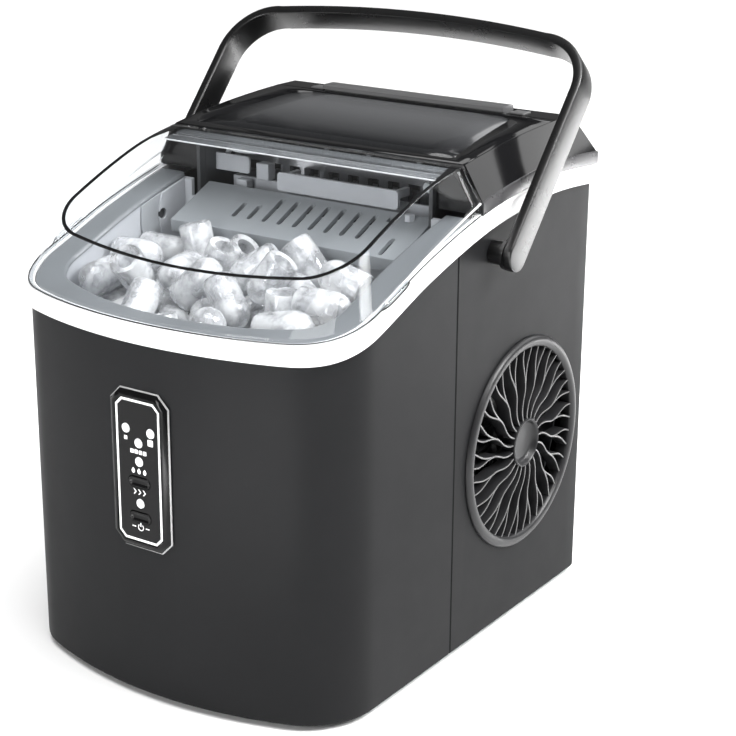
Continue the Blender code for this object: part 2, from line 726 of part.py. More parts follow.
# ============================ ice bin and bay ====================================
BIN_REAR = 8.0
BIN_FLOOR = 36.0
BAY_HALF_W = 82.5
BAY_FRONT, BAY_REAR = 9.0, 92.0
BAY_FLOOR, BAY_TOP = 187.0, 280.0
SENSOR_Y, SENSOR_Z, SENSOR_R = -15.0, 236.0, 3.0


def bin_outline(inset, rear):
    path = front_path(rear)
    return [(x - inset * nx, y - inset * ny) for x, y, nx, ny in path]


def above_curve(bm, rise):
    """Everything above the band's curve, as a cutter body."""
    ys = [-150 + 6 * k for k in range(28)]
    pts = [(y, band_z(y) + rise) for y in ys] + [(ys[-1], 330), (ys[0], 330)]
    add_prism(bm, pts, "X", -130, 130)


LINER_OUT, LINER_IN = 17.0, 19.5
LINER_TOP = 7.9                # height of the liner's rim above the band's lower edge
PUMP_PORT_R = 5.0
DRAIN_SLOT = ((-60, 0, 190), (60, 20, 197))    # water's way from the bay back into the bin
MOUTH_Z = 243.5


def build_bin():
    def block(bm):
        add_prism(bm, bin_outline(LINER_OUT, BIN_REAR), "Z", BIN_FLOOR, 270)

    def inside(bm):
        add_prism(bm, bin_outline(LINER_IN, BIN_REAR - WALL), "Z", BIN_FLOOR + WALL, 280)

    def extras(bm):
        add_box(bm, (-84, 0, MOUTH_Z), (84, 20, 300))
        add_rod(bm, "Z", PUMP_AXIS, PUMP_PORT_R, BIN_FLOOR - 6, BIN_FLOOR + 9)
        add_box(bm, *DRAIN_SLOT)

    def sensor_bore(bm):
        add_rod(bm, "X", (0, SENSOR_Y, SENSOR_Z), SENSOR_R + GAP, -100, -88)
    liner = solid("ice_bin_liner", GREY, block)
    boolean(liner, cutter("cut_liner_inside", inside))
    boolean(liner, cutter("cut_liner_top", lambda bm: above_curve(bm, LINER_TOP)))
    boolean(liner, cutter("cut_liner_rear", extras))
    boolean(liner, cutter("cut_sensor_bore", sensor_bore))

    def sensor(bm):
        add_rod(bm, "X", (0, SENSOR_Y, SENSOR_Z), SENSOR_R, -97, -91)
    solid("ice_full_sensor", DARK, sensor, smooth=True)


BAY_IN = BAY_HALF_W - WALL
BACK_PANEL_HALF_W, BACK_RIBS, BACK_PANEL_Z = 79.5, 22, (259, 281)


def build_bay():
    def block(bm):
        add_box(bm, (-BAY_HALF_W, BAY_FRONT, BAY_FLOOR), (BAY_HALF_W, BAY_REAR, BAY_TOP))

    def inside(bm):
        add_box(bm, (-BAY_IN, BAY_FRONT + WALL, BAY_FLOOR + WALL), (BAY_IN, BAY_REAR - WALL, BAY_TOP + 10))

    def mouth(bm):
        add_box(bm, (-BAY_IN - 0.2, 0, 244.6), (BAY_IN + 0.2, BAY_FRONT + 5, BAY_TOP + 10))
    bay = solid("evaporator_bay", GREY, block)
    boolean(bay, cutter("cut_bay_inside", inside))
    boolean(bay, cutter("cut_bay_mouth", mouth))

    def holes(bm):
        _, y, z = TRAY_AXIS
        add_rod(bm, "X", (0, y, z), 2.9, -90, -75, 16)
        add_rod(bm, "X", (0, y, z), 2.9, 75, 90, 16)
        add_rod(bm, "X", (0, 22, 237), 5.2, 75, 90, 16)
        add_rod(bm, "X", (0, 33, 224), 2.4, -90, -75, 12)
        add_rod(bm, "Y", (75, 0, 222), 3.4, 85, 95, 12)
        add_box(bm, *DRAIN_SLOT)
    boolean(bay, cutter("cut_bay_holes", holes))
    half, rear, crest, groove = BACK_PANEL_HALF_W, 59.5, 57.6, 56.4
    step = 2 * half / BACK_RIBS
    ribs = [(-half, rear), (half, rear)]
    for k in range(BACK_RIBS):
        x = half - step * k
        ribs += [(x, crest), (x - step * 0.7, crest), (x - step * 0.7, groove), (x - step + 0.01, groove)]
    ribs.append((-half, crest))
    solid("bay_back_panel", DARK, lambda bm: add_prism(bm, ribs, "Z", *BACK_PANEL_Z))


GRID_TOP, GRID_LOW = (16.5, 251.0), (-20.0, 235.0)


GRID_HALF_W = 79.4
GRID_SLOT_HALF, GRID_SLOT_R = 1.6, 1.5
GRID_SLOTS, GRID_SLOT_X, GRID_SLOT_PITCH = 9, -42.0, 10.8
GRID_CUT_Z = (225.0, 262.0)


def build_slide_grid():
    (y0, z0), (y1, z1) = GRID_TOP, GRID_LOW
    side = [(y0, z0), (y1, z1), (y1 + 0.6, z1 - 7), (y1 + 2.4, z1 - 7), (y1 + 2.4, z1 - 1.6), (y0, z0 - 2.5)]
    grid = solid("slide_grid", GREY, lambda bm: add_prism(bm, side, "X", -GRID_HALF_W, GRID_HALF_W))

    def slot(bm, x, rear, front):
        middle, half = (rear + front) / 2, (rear - front) / 2
        add_prism(bm, rounded_rect(GRID_SLOT_HALF, half, GRID_SLOT_R, 2, (x, middle)), "Z", *GRID_CUT_Z)

    def slots(bm):
        for k in range(GRID_SLOTS):
            slot(bm, GRID_SLOT_X + GRID_SLOT_PITCH * k, 12.0 if k > 1 else 4.0, -9.0)
        slot(bm, 66, -4.0, -18.0)
        add_box(bm, (53, 8, GRID_CUT_Z[0]), (57, 12, GRID_CUT_Z[1]))
    boolean(grid, cutter("cut_grid_slots", slots))


# ============================ ice mechanism ======================================
FINGERS, FINGER_PITCH, FINGER_Y = 9, 14.0, 44.5


def build_evaporator():
    def plate(bm):
        add_box(bm, (-79.5, 38.5, 262), (79.5, 50.5, 270))
    bar = solid("evaporator", STEEL, plate, smooth=True)
    finger = [(0, 241.5), (3.2, 241.8), (4.5, 244), (4.5, 264), (0, 264)]

    def fingers(bm):
        for k in range(FINGERS):
            add_turned(bm, "Z", ((k - FINGERS // 2) * FINGER_PITCH, FINGER_Y, 0), finger, 10)
    boolean(bar, cutter("add_fingers", fingers), "UNION")


TRAY_HALF_W, TRAY_WALL = 70.0, 2.2
MOTOR_R = 12.0


def build_tray():
    _, y, z = TRAY_AXIS
    outside = [(28, 254), (28, 234), (32, 230), (57, 230), (57, 254)]
    inside = [(30.2, 260), (30.2, 235), (33, 232.5), (54.8, 232.5), (54.8, 260)]

    def block(bm):
        add_prism(bm, outside, "X", -TRAY_HALF_W, TRAY_HALF_W)
    tray = solid("water_tray", GREY, block, TRAY_AXIS)

    def stubs(bm):
        add_rod(bm, "X", (0, y, z), 2.6, -83.6, 83.6, 16)

    def hollow(bm):
        add_prism(bm, inside, "X", TRAY_WALL - TRAY_HALF_W, TRAY_HALF_W - TRAY_WALL)
    boolean(tray, cutter("add_stubs", stubs), "UNION")
    boolean(tray, cutter("cut_tray_inside", hollow))
    motor = [(0, -84.2), (MOTOR_R, -84.2), (MOTOR_R, -103), (0, -103)]
    solid("tray_motor", DARK, lambda bm: add_turned(bm, "X", (0, y, z), motor, 24), smooth=True)


def build_shovel():
    shovel = solid("ice_shovel", GREY, lambda bm: add_prism(
        bm, rounded_rect(42, 5.4, 2.0, 3, (12, 257.2)), "Y", 18.0, 20.4), (12, 20.4, 252))

    def arms(bm):
        for x in (-26, 50):
            add_box(bm, (x - 1.5, 19, 257.0), (x + 1.5, 34, 261.6))
    boolean(shovel, cutter("add_shovel_arms", arms), "UNION")


BASKET_OUT, BASKET_WALL = 22.5, 2.0
BASKET_LOW, BASKET_TOP = 100.0, 204.0
BASKET_SLOTS, BASKET_SLOT_PITCH = 9, 16.0


def build_basket():
    def block(bm):
        add_prism(bm, bin_outline(BASKET_OUT, -BASKET_OUT), "Z", BASKET_LOW, BASKET_TOP)

    def inside(bm):
        inner = BASKET_OUT + BASKET_WALL
        add_prism(bm, bin_outline(inner, -inner), "Z", BASKET_LOW + BASKET_WALL, BASKET_TOP + 6)

    def slots(bm):
        for k in range(BASKET_SLOTS):
            x = (k - BASKET_SLOTS // 2) * BASKET_SLOT_PITCH
            add_box(bm, (x - 2, -105, BASKET_LOW - 4), (x + 2, -38, BASKET_LOW + 3))
    basket = solid("ice_basket", GREY, block, (0, -70, BASKET_LOW))
    boolean(basket, cutter("cut_basket_inside", inside))
    boolean(basket, cutter("cut_basket_slots", slots))


# ============================ cooling circuit ====================================
COMPRESSOR = (-44.0, 84.0, 0.0)


def build_compressor():
    solid("compressor", COMPRESSOR_PAINT, lambda bm: add_turned(bm, "Z", COMPRESSOR, [
        (0, 14), (30, 14), (37, 20), (39, 30), (39, 66), (41, 67), (41, 70), (39, 71), (38, 96), (33, 110),
        (22, 119), (14, 122), (0, 122)], 24), smooth=True)
    for k in range(3):
        a = math.radians(90 + 120 * k)
        x, y = COMPRESSOR[0] + 22 * math.cos(a), COMPRESSOR[1] + 22 * math.sin(a)
        solid("compressor_mount_%d" % (k + 1), RUBBER, lambda bm: add_turned(bm, "Z", (x, y, 0), [
            (0, 6.5), (7, 6.5), (5.4, 10), (7, 13.7), (0, 13.7)], 16))


def build_condenser():
    fins = 18
    pitch = 105.0 / fins
    pts = [(36, 119), (36, 14)]
    for k in range(fins):
        y = 14 + pitch * k
        pts += [(52, y), (52, y + pitch * 0.45), (41, y + pitch * 0.45), (41, y + pitch - 0.01)]
    pts[-1] = (41, 119)
    solid("condenser", ALUMINIUM, lambda bm: add_prism(bm, pts, "Z", 58, 163))


BLADES, BLADE_ROOT, BLADE_TIP = 7, 12.5, 49.5


def build_fan():
    _, cy, cz = FAN_AXIS
    shroud = solid("fan_shroud", DARK, lambda bm: add_prism(
        bm, rounded_rect(55.5, 55.5, 6, 3, (cy, cz)), "X", 84.5, 87))

    def duct(bm):
        add_turned(bm, "X", FAN_AXIS, [(53.5, 86), (55.2, 86), (55.2, 103.5), (53.5, 103.5)], 28)
    boolean(shroud, cutter("cut_duct_hole", lambda bm: add_rod(bm, "X", FAN_AXIS, 53.5, 80, 90, 28)))
    boolean(shroud, cutter("add_duct", duct), "UNION")

    def spider(bm):
        add_turned(bm, "X", FAN_AXIS, [(16.4, 78), (19, 78), (19, 87), (16.4, 87)], 24)
    boolean(shroud, cutter("add_motor_ring", spider), "UNION")

    def arms(bm):
        for k in range(3):
            verts = add_box(bm, (84.7, -2.5, 18), (86.8, 2.5, 54.3))
            turn = Matrix.Translation(Vector(FAN_AXIS)) @ Matrix.Rotation(2 * math.pi * k / 3, 4, "X")
            bmesh.ops.transform(bm, matrix=turn, verts=verts)
    boolean(shroud, cutter("add_spider_arms", arms), "UNION")
    solid("fan_motor", DARK, lambda bm: add_turned(bm, "X", FAN_AXIS, [
        (0, 60), (16, 60), (16, 84), (2.4, 84), (2.4, 98), (0, 98)], 24), smooth=True)
    fan = solid("fan", BLACK_SATIN, lambda bm: add_turned(bm, "X", FAN_AXIS, [
        (0, 101), (12, 101), (14, 99), (14, 89), (2.6, 89), (2.6, 98.4), (0, 98.4)], 28), FAN_AXIS, True)

    def blades(bm):
        for k in range(BLADES):
            verts = add_box(bm, (-0.8, -11, BLADE_ROOT), (0.8, 11, BLADE_TIP))
            for v in verts:
                v.co.y *= 0.36 + 0.64 * (v.co.z - BLADE_ROOT) / (BLADE_TIP - BLADE_ROOT)
            tilt = Matrix.Rotation(math.radians(58), 4, "Z")
            place = Matrix.Translation(Vector((95, cy, cz)))
            turn = place @ Matrix.Rotation(2 * math.pi * k / BLADES, 4, "X")
            turn = turn @ tilt @ Matrix.Rotation(math.radians(-90), 4, "Z")
            bmesh.ops.transform(bm, matrix=turn, verts=verts)
    boolean(fan, cutter("add_blades", blades), "UNION")


def build_tubes():
    cx, cy, _ = COMPRESSOR
    top = 122.9                # the compressor's crown, with the gap that touching pieces keep
    tube("discharge_tube", [
        (cx + 6, cy, top), (cx + 6, cy, 140), (-10, 92, 168), (30, 100, 178), (44, 100, 172),
        (44, 100, 163.4),
    ], 2.5, COPPER)
    tube("liquid_tube", [
        (44, 30, 57.6), (44, 30, 44), (20, 26, 32), (-60, 24, 32), (-92, 28, 44), (-92, 30, 69.6),
    ], 2.0, COPPER)
    drier = [(0, 70), (3, 70), (8, 76), (8, 122), (3, 130), (0, 130)]
    solid("filter_drier", COPPER, lambda bm: add_turned(bm, "Z", (-92, 30, 0), drier, 20), smooth=True)
    tube("capillary_tube", [
        (-92, 30, 130.4), (-92, 30, 200), (-91, 33, 216), (-84, 33, 224), (-76, 33, 226), (-75, 38, 240),
        (-75, 44.5, 261.6),
    ], 1.5, COPPER)
    tube("suction_tube", [
        (75, 44.5, 261.6), (75, 44.5, 252), (75, 48, 236), (75, 68, 223), (75, 92, 222), (68, 106, 216),
        (20, 110, 196), (-44, 108, 178), (-54, 92, 150), (cx - 6, cy, 132), (cx - 6, cy, top),
    ], 2.5, COPPER, 2)
    valve = [(0, 128), (10, 128), (10, 150), (5, 152), (5, 158), (0, 158)]
    solid("hot_gas_valve", STEEL, lambda bm: add_turned(bm, "Z", (4, 40, 0), valve, 20), smooth=True)


# ============================ water circuit ======================================
IMPELLER_VANES = 5


def build_pump():
    cup = [(0, 8.5), (16, 8.5), (16, 35.6), (13.2, 35.6), (13.2, 12), (0, 12)]
    wheel = [(0, 14), (11.5, 14), (11.5, 16), (3.5, 16), (3.5, 28), (0, 28)]
    solid("water_pump", DARK, lambda bm: add_turned(bm, "Z", PUMP_AXIS, cup, 24), smooth=True)
    place = (PUMP_AXIS[0], PUMP_AXIS[1], wheel[0][1])
    impeller = solid("pump_impeller", WHITE, lambda bm: add_turned(bm, "Z", PUMP_AXIS, wheel, 20), place)

    def vanes(bm):
        for k in range(IMPELLER_VANES):
            verts = add_box(bm, (2.5, -0.7, 15), (11.2, 0.7, 24))
            turn = Matrix.Rotation(2 * math.pi * k / IMPELLER_VANES, 4, "Z")
            bmesh.ops.transform(bm, matrix=Matrix.Translation(Vector(PUMP_AXIS)) @ turn, verts=verts)
    boolean(impeller, cutter("add_impeller_vanes", vanes), "UNION")


def build_hoses():
    tube("water_hose", [
        (76.6, -30, 22), (88, -28, 22), (100, -16, 30), (101, -4, 60), (101, -2, 200), (101, 6, 222),
        (97, 18, 235), (88, 22, 237), (80, 22, 237), (75.5, 22, 243), (75.5, 23, 255), (71.5, 29, 263),
        (64, 33, 263.5),
    ], 3.2, TUBE_CLEAR, 2)
    tube("drain_hose", [
        (74, -10, 35.6), (74, -8, 24), (74, 4, 16), (74, 60, 16), (74, 96, 21), (74, 118, 24),
        (74, 134.2, 24),
    ], 4.0, RUBBER)


CAP_REAR = 143.4


def build_drain_cap():
    plug = [(0, 135.2), (6, 135.2), (6, 138), (9.4, 138), (9.4, CAP_REAR), (0, CAP_REAR)]
    place = (DRAIN_AXIS[0], CAP_REAR, DRAIN_AXIS[2])
    cap = solid("drain_cap", RUBBER, lambda bm: add_turned(bm, "Y", DRAIN_AXIS, plug, 24), place)

    def grip(bm):
        add_box(bm, (66.5, CAP_REAR - 0.9, 22.6), (81.5, CAP_REAR + 1.9, 25.4))
    boolean(cap, cutter("add_cap_grip", grip), "UNION")


def build_electrics():
    collar = [(3.4, 134), (6.8, 134), (6.8, 142.8), (9.5, 142.8), (9.5, 144.4), (8.4, 145.4), (3.4, 145.4)]
    solid("power_inlet", BLACK_SATIN, lambda bm: add_turned(bm, "Y", INLET_CENTRE, collar, 24), smooth=True)
    board = solid("power_board", BOARD, lambda bm: add_box(bm, (-105.6, 44, 132), (-104, 130, 182)))

    def components(bm):
        add_box(bm, (-104.5, 50, 140), (-90, 68, 160))
        add_box(bm, (-104.5, 74, 138), (-94, 90, 152))
        add_box(bm, (-104.5, 98, 150), (-92, 120, 172))
    boolean(board, cutter("add_components", components), "UNION")


def main():
    build_front_shell()
    build_rear_shell()
    build_band()
    build_bezel()
    build_base()
    build_rear_housing()
    build_hinge()
    build_lid_shell()
    build_lid_frame()
    build_lid_window()
    build_handle()
    build_grille()
    build_panel()
    build_bin()
    build_bay()
    build_slide_grid()
    build_evaporator()
    build_tray()
    build_shovel()
    build_basket()
    build_compressor()
    build_condenser()
    build_fan()
    build_tubes()
    build_pump()
    build_hoses()
    build_drain_cap()
    build_electrics()


clear_scene()
main()
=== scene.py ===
"""Countertop bullet-ice maker: the visible surfaces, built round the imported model.

Lengths are millimetres unless a name ends in _m; a mesh is scaled to metres when it is
made. +X is the user's right, the front faces -Y and +Z is up.
"""

import json
import random
from math import acos, atan2, cos, hypot, pi, radians, sin, sqrt

import bmesh
import bpy
from mathutils import Matrix, Vector


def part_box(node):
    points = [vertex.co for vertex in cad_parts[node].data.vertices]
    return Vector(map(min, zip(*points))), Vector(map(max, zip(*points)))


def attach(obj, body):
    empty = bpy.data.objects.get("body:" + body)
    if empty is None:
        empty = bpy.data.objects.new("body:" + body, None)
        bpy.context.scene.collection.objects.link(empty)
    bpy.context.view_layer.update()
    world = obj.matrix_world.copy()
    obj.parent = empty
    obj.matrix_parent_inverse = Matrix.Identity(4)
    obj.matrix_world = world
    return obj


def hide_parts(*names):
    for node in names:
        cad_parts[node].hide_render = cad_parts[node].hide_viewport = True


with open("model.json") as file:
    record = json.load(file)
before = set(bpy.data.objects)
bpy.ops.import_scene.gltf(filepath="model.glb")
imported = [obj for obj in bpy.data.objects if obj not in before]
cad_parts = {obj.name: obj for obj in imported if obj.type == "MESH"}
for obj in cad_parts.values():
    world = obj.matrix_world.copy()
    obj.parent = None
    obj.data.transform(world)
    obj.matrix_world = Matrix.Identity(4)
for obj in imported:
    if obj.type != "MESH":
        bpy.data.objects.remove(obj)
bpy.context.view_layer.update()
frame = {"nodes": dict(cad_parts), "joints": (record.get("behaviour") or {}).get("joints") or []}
NODES = frame["nodes"]
MM = 0.001


def corner(node, end, axis):
    """One coordinate of a node's box in millimetres; end is 0 for low and 1 for high."""
    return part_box(node)[end]["XYZ".index(axis)] / MM


def node_centre(node):
    """The middle of a node's box in millimetres."""
    low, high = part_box(node)
    return (low + high) / 2 / MM


def joint_place(name):
    """A hinge's point in millimetres."""
    for joint in frame["joints"]:
        if joint["name"] == name:
            return Vector(joint["pos_m"]) / MM
    raise ValueError(name)


# ---- driving dimensions ----
HALF_W = corner("rear_shell", 1, "X")
HALF_D = corner("rear_shell", 1, "Y")
BODY_BASE = corner("front_shell", 0, "Z")
SEAM_Y = (corner("front_shell", 1, "Y") + corner("rear_shell", 0, "Y")) / 2
FRONT_BOW = 27.0               # how far the front bulges between its corners
FRONT_R = 42.0                 # front corner radius
REAR_R = 5.0
WALL = 2.5
GAP = 0.3
SEAM_HALF = 0.2

# lower edge of the white band, (y, z), front to back
BAND_CURVE = [(-150, 206), (-118, 206.5), (-84, 217.5), (-41, 233), (12.5, 247),
              (53.5, 252.8), (94.4, 255.5), (150, 252)]
BAND_H = 11.0
BAND_PROUD = 3.0
LEDGE_H = 7.8
# fold line between the lid's top and its sloping skirt, (y, z)
LID_CURVE = [(-116, 238.5), (-100, 248), (-80, 257.5), (-50, 269.5), (-20, 279),
             (12, 284.5), (60, 290), (120, 293), (150, 292)]
LID_HALF_W = 100.4
LID_FRONT = -113.3
LID_R = 29.0
LID_BOW = 12.0
LID_SPLIT_Y = 12.0
LID_REAR = corner("lid_frame", 1, "Y")

LID_AXIS = joint_place("lid_hinge")
HANDLE_AXIS = joint_place("handle_hinge")
FAN_AXIS = joint_place("fan_spin")
HANDLE_TILT = radians(48.8)


# ---- curves ----
def smooth_curve(points):
    """Return f(t) passing smoothly through (t, value) points."""
    def slope(i):
        lo, hi = max(i - 1, 0), min(i + 1, len(points) - 1)
        return (points[hi][1] - points[lo][1]) / (points[hi][0] - points[lo][0])

    def value(t):
        i = 0
        while i < len(points) - 2 and t > points[i + 1][0]:
            i += 1
        (t0, v0), (t1, v1) = points[i], points[i + 1]
        span = t1 - t0
        s = min(max((t - t0) / span, 0.0), 1.0)
        s2, s3 = s * s, s * s * s
        return ((2 * s3 - 3 * s2 + 1) * v0 + (s3 - 2 * s2 + s) * span * slope(i)
                + (3 * s2 - 2 * s3) * v1 + (s3 - s2) * span * slope(i + 1))
    return value


band_z = smooth_curve(BAND_CURVE)
lid_z = smooth_curve(LID_CURVE)


def above_band(rise):
    return lambda y: band_z(y) + rise


def quarter(steps, first=0):
    """Cosine and sine at each step of a quarter turn."""
    angles = [pi / 2 * k / steps for k in range(first, steps + 1)]
    return [(cos(a), sin(a)) for a in angles]


def mirrored(stations):
    """The same stations on the other side, in reverse order."""
    return [(-x, y, -nx, ny) for x, y, nx, ny in reversed(stations)]


def front_path(y_end, half_w=HALF_W, front=-HALF_D, bow=FRONT_BOW, radius=FRONT_R):
    """Stations (x, y, nx, ny) from the right side at y_end round the front to the left."""
    sides, arcs, across = 14, 14, 32
    touch = half_w - radius
    for _ in range(30):
        slope = 2 * bow * touch / half_w ** 2
        touch = half_w - radius + radius * slope / hypot(1, slope)
    arc_y = front + bow * (touch / half_w) ** 2 + radius / hypot(1, slope)
    last = atan2(1.0, slope)
    right = [(half_w, y_end + (arc_y - y_end) * k / sides, 1.0, 0.0) for k in range(sides)]
    for k in range(arcs):
        a = last * k / arcs
        right.append((half_w - radius + radius * cos(a), arc_y - radius * sin(a),
                      cos(a), -sin(a)))
    for k in range(across // 2):
        x = touch * (1 - 2 * k / across)
        s = 2 * bow * x / half_w ** 2
        long = hypot(1, s)
        right.append((x, front + bow * (x / half_w) ** 2, s / long, -1 / long))
    return right + [(0.0, front, 0.0, -1.0)] + mirrored(right)


def rear_path(y_end):
    """Stations from the left side at y_end round the back to the right."""
    sides = 16
    arc_y = HALF_D - REAR_R
    left = [(-HALF_W, y_end + (arc_y - y_end) * k / sides, -1.0, 0.0) for k in range(sides)]
    left += [(-HALF_W + REAR_R - REAR_R * c, arc_y + REAR_R * s, -c, s) for c, s in quarter(6)]
    return left + mirrored(left)


def lid_path(y_end):
    return front_path(y_end, LID_HALF_W, LID_FRONT, LID_BOW, LID_R)


def section(station, profile):
    """Profile points are (distance in from the cabinet face, height or height of y)."""
    x, y, nx, ny = station
    points = []
    for inset, level in profile:
        px, py = x - inset * nx, y - inset * ny
        points.append((px, py, level(py) if callable(level) else level))
    return points


def inset_outline(inset, rear):
    return [(x - inset * nx, y - inset * ny) for x, y, nx, ny in front_path(rear)]


def rounded_rect(half_u, half_v, radius, seg, centre):
    points = []
    for q, (su, sv) in enumerate(((1, 1), (-1, 1), (-1, -1), (1, -1))):
        for k in range(seg + 1):
            a = pi / 2 * (q + k / seg)
            points.append((centre[0] + su * (half_u - radius) + radius * cos(a),
                           centre[1] + sv * (half_v - radius) + radius * sin(a)))
    return points


# ---- mesh building, in millimetres ----
def new_object(name, data):
    ob = bpy.data.objects.new(name, data)
    bpy.context.scene.collection.objects.link(ob)
    return ob


def shade(mesh, angle):
    """Smooth shading, with edges sharper than an angle in degrees left hard."""
    mesh.shade_smooth()
    mesh.set_sharp_from_angle(angle=radians(angle))


def mesh_from(name, bm):
    mesh = bpy.data.meshes.new(name)
    bm.to_mesh(mesh)
    bm.free()
    return mesh


def finish_mesh(name, bm, mat, smooth_angle):
    """Turn a mesh built in millimetres into an object with its points in metres."""
    bmesh.ops.remove_doubles(bm, verts=bm.verts, dist=1e-4)
    bmesh.ops.recalc_face_normals(bm, faces=bm.faces)
    for v in bm.verts:
        v.co *= MM
    mesh = mesh_from(name, bm)
    if smooth_angle:
        shade(mesh, smooth_angle)
    mesh.materials.append(mat)
    return new_object(name, mesh)


def piece(name, build, mat, body, replaces=(), smooth_angle=35):
    """Make one visible piece that rides on a body and stands for CAD nodes."""
    bm = bmesh.new()
    build(bm)
    ob = finish_mesh(name, bm, mat, smooth_angle)
    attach(ob, body)
    if replaces:
        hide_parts(*replaces)
    return ob


def cut(ob, build, operation="DIFFERENCE"):
    """Cut or join a second shape, and keep only the result's mesh."""
    bm = bmesh.new()
    build(bm)
    tool = finish_mesh(ob.name + "_tool", bm, ob.data.materials[0], 0)
    mod = ob.modifiers.new("cut", "BOOLEAN")
    mod.object = tool
    mod.operation = operation
    mod.solver = "EXACT"
    bpy.context.view_layer.update()
    evaluated = ob.evaluated_get(bpy.context.evaluated_depsgraph_get())
    mesh = bpy.data.meshes.new_from_object(evaluated)
    ob.modifiers.remove(mod)
    ob.data = mesh
    bpy.data.objects.remove(tool, do_unlink=True)
    shade(mesh, 35)


def soften(ob, width, angle=40):
    """Round an object's sharp edges."""
    mod = ob.modifiers.new("edges", "BEVEL")
    mod.width = width * MM
    mod.segments = 2
    mod.limit_method = "ANGLE"
    mod.angle_limit = radians(angle)
    mod.harden_normals = True
    mod.use_clamp_overlap = True


def add_box(bm, low, high):
    for v in bmesh.ops.create_cube(bm, size=1.0)["verts"]:
        v.co = Vector([low[k] + (v.co[k] + 0.5) * (high[k] - low[k]) for k in range(3)])


def add_turned(bm, axis, centre, profile, sides=64):
    """Turn a closed profile of (radius, distance along axis) points about an axis."""
    turn = {"X": Matrix.Rotation(pi / 2, 4, "Y"), "Y": Matrix.Rotation(-pi / 2, 4, "X"),
            "Z": Matrix.Identity(4)}[axis]
    place = Matrix.Translation(Vector(centre)) @ turn
    rings = []
    for r, h in profile:
        count = 1 if r < 1e-6 else sides
        rings.append([bm.verts.new(place @ Vector((r * cos(2 * pi * k / sides),
                                                   r * sin(2 * pi * k / sides), h)))
                      for k in range(count)])
    for i, a in enumerate(rings):
        b = rings[(i + 1) % len(rings)]
        if len(a) == 1 and len(b) == 1:
            continue
        for k in range(sides):
            n = (k + 1) % sides
            corners = [a[k % len(a)], b[k % len(b)], b[n % len(b)], a[n % len(a)]]
            unique = [v for j, v in enumerate(corners) if v not in corners[:j]]
            bm.faces.new(unique)


def add_rod(bm, axis, centre, radius, start, end, sides=32):
    add_turned(bm, axis, centre, [(0, start), (radius, start), (radius, end), (0, end)], sides)


def add_prism(bm, points, axis, start, end):
    """Extrude a flat outline; its two coordinates are the axes other than `axis`, in order."""
    k = "XYZ".index(axis)

    def place(p, d):
        co = [p[0], p[1]]
        co.insert(k, d)
        return bm.verts.new(co)
    low = [place(p, start) for p in points]
    high = [place(p, end) for p in points]
    bm.faces.new(low)
    bm.faces.new(list(reversed(high)))
    for i in range(len(points)):
        j = (i + 1) % len(points)
        bm.faces.new((low[i], high[i], high[j], low[j]))


def add_strip(bm, sections, closed=False):
    """Join equal cross-sections, each a list of points, into one solid."""
    rows = [[bm.verts.new(p) for p in sec] for sec in sections]
    steps = len(rows) if closed else len(rows) - 1
    size = len(rows[0])
    for i in range(steps):
        a, b = rows[i], rows[(i + 1) % len(rows)]
        for k in range(size):
            n = (k + 1) % size
            bm.faces.new((a[k], b[k], b[n], a[n]))
    if not closed:
        bm.faces.new(rows[0])
        bm.faces.new(list(reversed(rows[-1])))


def add_sheet(bm, rows):
    """A sheet whose rows are lists of points; consecutive rows are joined."""
    made = [[bm.verts.new(p) for p in row] for row in rows]
    for a, b in zip(made, made[1:]):
        for k in range(len(a) - 1):
            quad = []
            for v in (a[k], a[k + 1], b[k + 1], b[k]):
                if all((v.co - q.co).length > 1e-4 for q in quad):
                    quad.append(v)
            if len(quad) > 2:
                bm.faces.new(quad)


def add_tube(bm, route, radius, sides, per_leg):
    """A round tube on a smooth curve through the route's points."""
    points = [Vector(p) for p in route]
    path = []
    for i in range(len(points) - 1):
        p0, p1 = points[max(i - 1, 0)], points[i]
        p2, p3 = points[i + 1], points[min(i + 2, len(points) - 1)]
        for k in range(per_leg):
            t = k / per_leg
            path.append(0.5 * (2 * p1 + (p2 - p0) * t + (2 * p0 - 5 * p1 + 4 * p2 - p3) * t * t
                               + (3 * p1 - p0 - 3 * p2 + p3) * t ** 3))
    path.append(points[-1])
    side = (path[1] - path[0]).orthogonal().normalized()
    rings = []
    for i, p in enumerate(path):
        ahead = (path[min(i + 1, len(path) - 1)] - path[max(i - 1, 0)]).normalized()
        side = (side - ahead * side.dot(ahead)).normalized()
        up = ahead.cross(side)
        rings.append([p + radius * (side * cos(2 * pi * k / sides)
                                    + up * sin(2 * pi * k / sides)) for k in range(sides)])
    add_strip(bm, rings)


def thicken(ob, thickness):
    """Give a sheet its wall, below its upward-facing side."""
    mesh = ob.data
    if sum(p.normal.z * p.area for p in mesh.polygons) < 0:
        mesh.flip_normals()
    mod = ob.modifiers.new("wall", "SOLIDIFY")
    mod.thickness = thickness * MM
    mod.offset = -1.0
    mod.use_even_offset = True


# ---- materials ----
PATCH = 22.0                   # noise scale of a surface's slow change of colour
GRAIN_DEPTH_M = 0.0004
SPEC = "Specular IOR Level"


def new_material(name):
    mat = bpy.data.materials.new(name)
    mat.use_nodes = True
    tree = mat.node_tree
    return mat, tree, tree.nodes["Principled BSDF"]


def wire(node, inputs):
    """Set or link a node's inputs, given by name or number."""
    for key, value in inputs.items():
        if isinstance(value, bpy.types.NodeSocket):
            node.id_data.links.new(value, node.inputs[key])
        else:
            node.inputs[key].default_value = value
    return node


def new_node(tree, kind, inputs):
    return wire(tree.nodes.new("ShaderNode" + kind), inputs)


def noise(tree, scale, detail=4.0):
    place = new_node(tree, "TexCoord", {}).outputs["Object"]
    return new_node(tree, "TexNoise", {"Scale": scale, "Detail": detail, "Roughness": 0.55,
                                       "Vector": place}).outputs["Fac"]


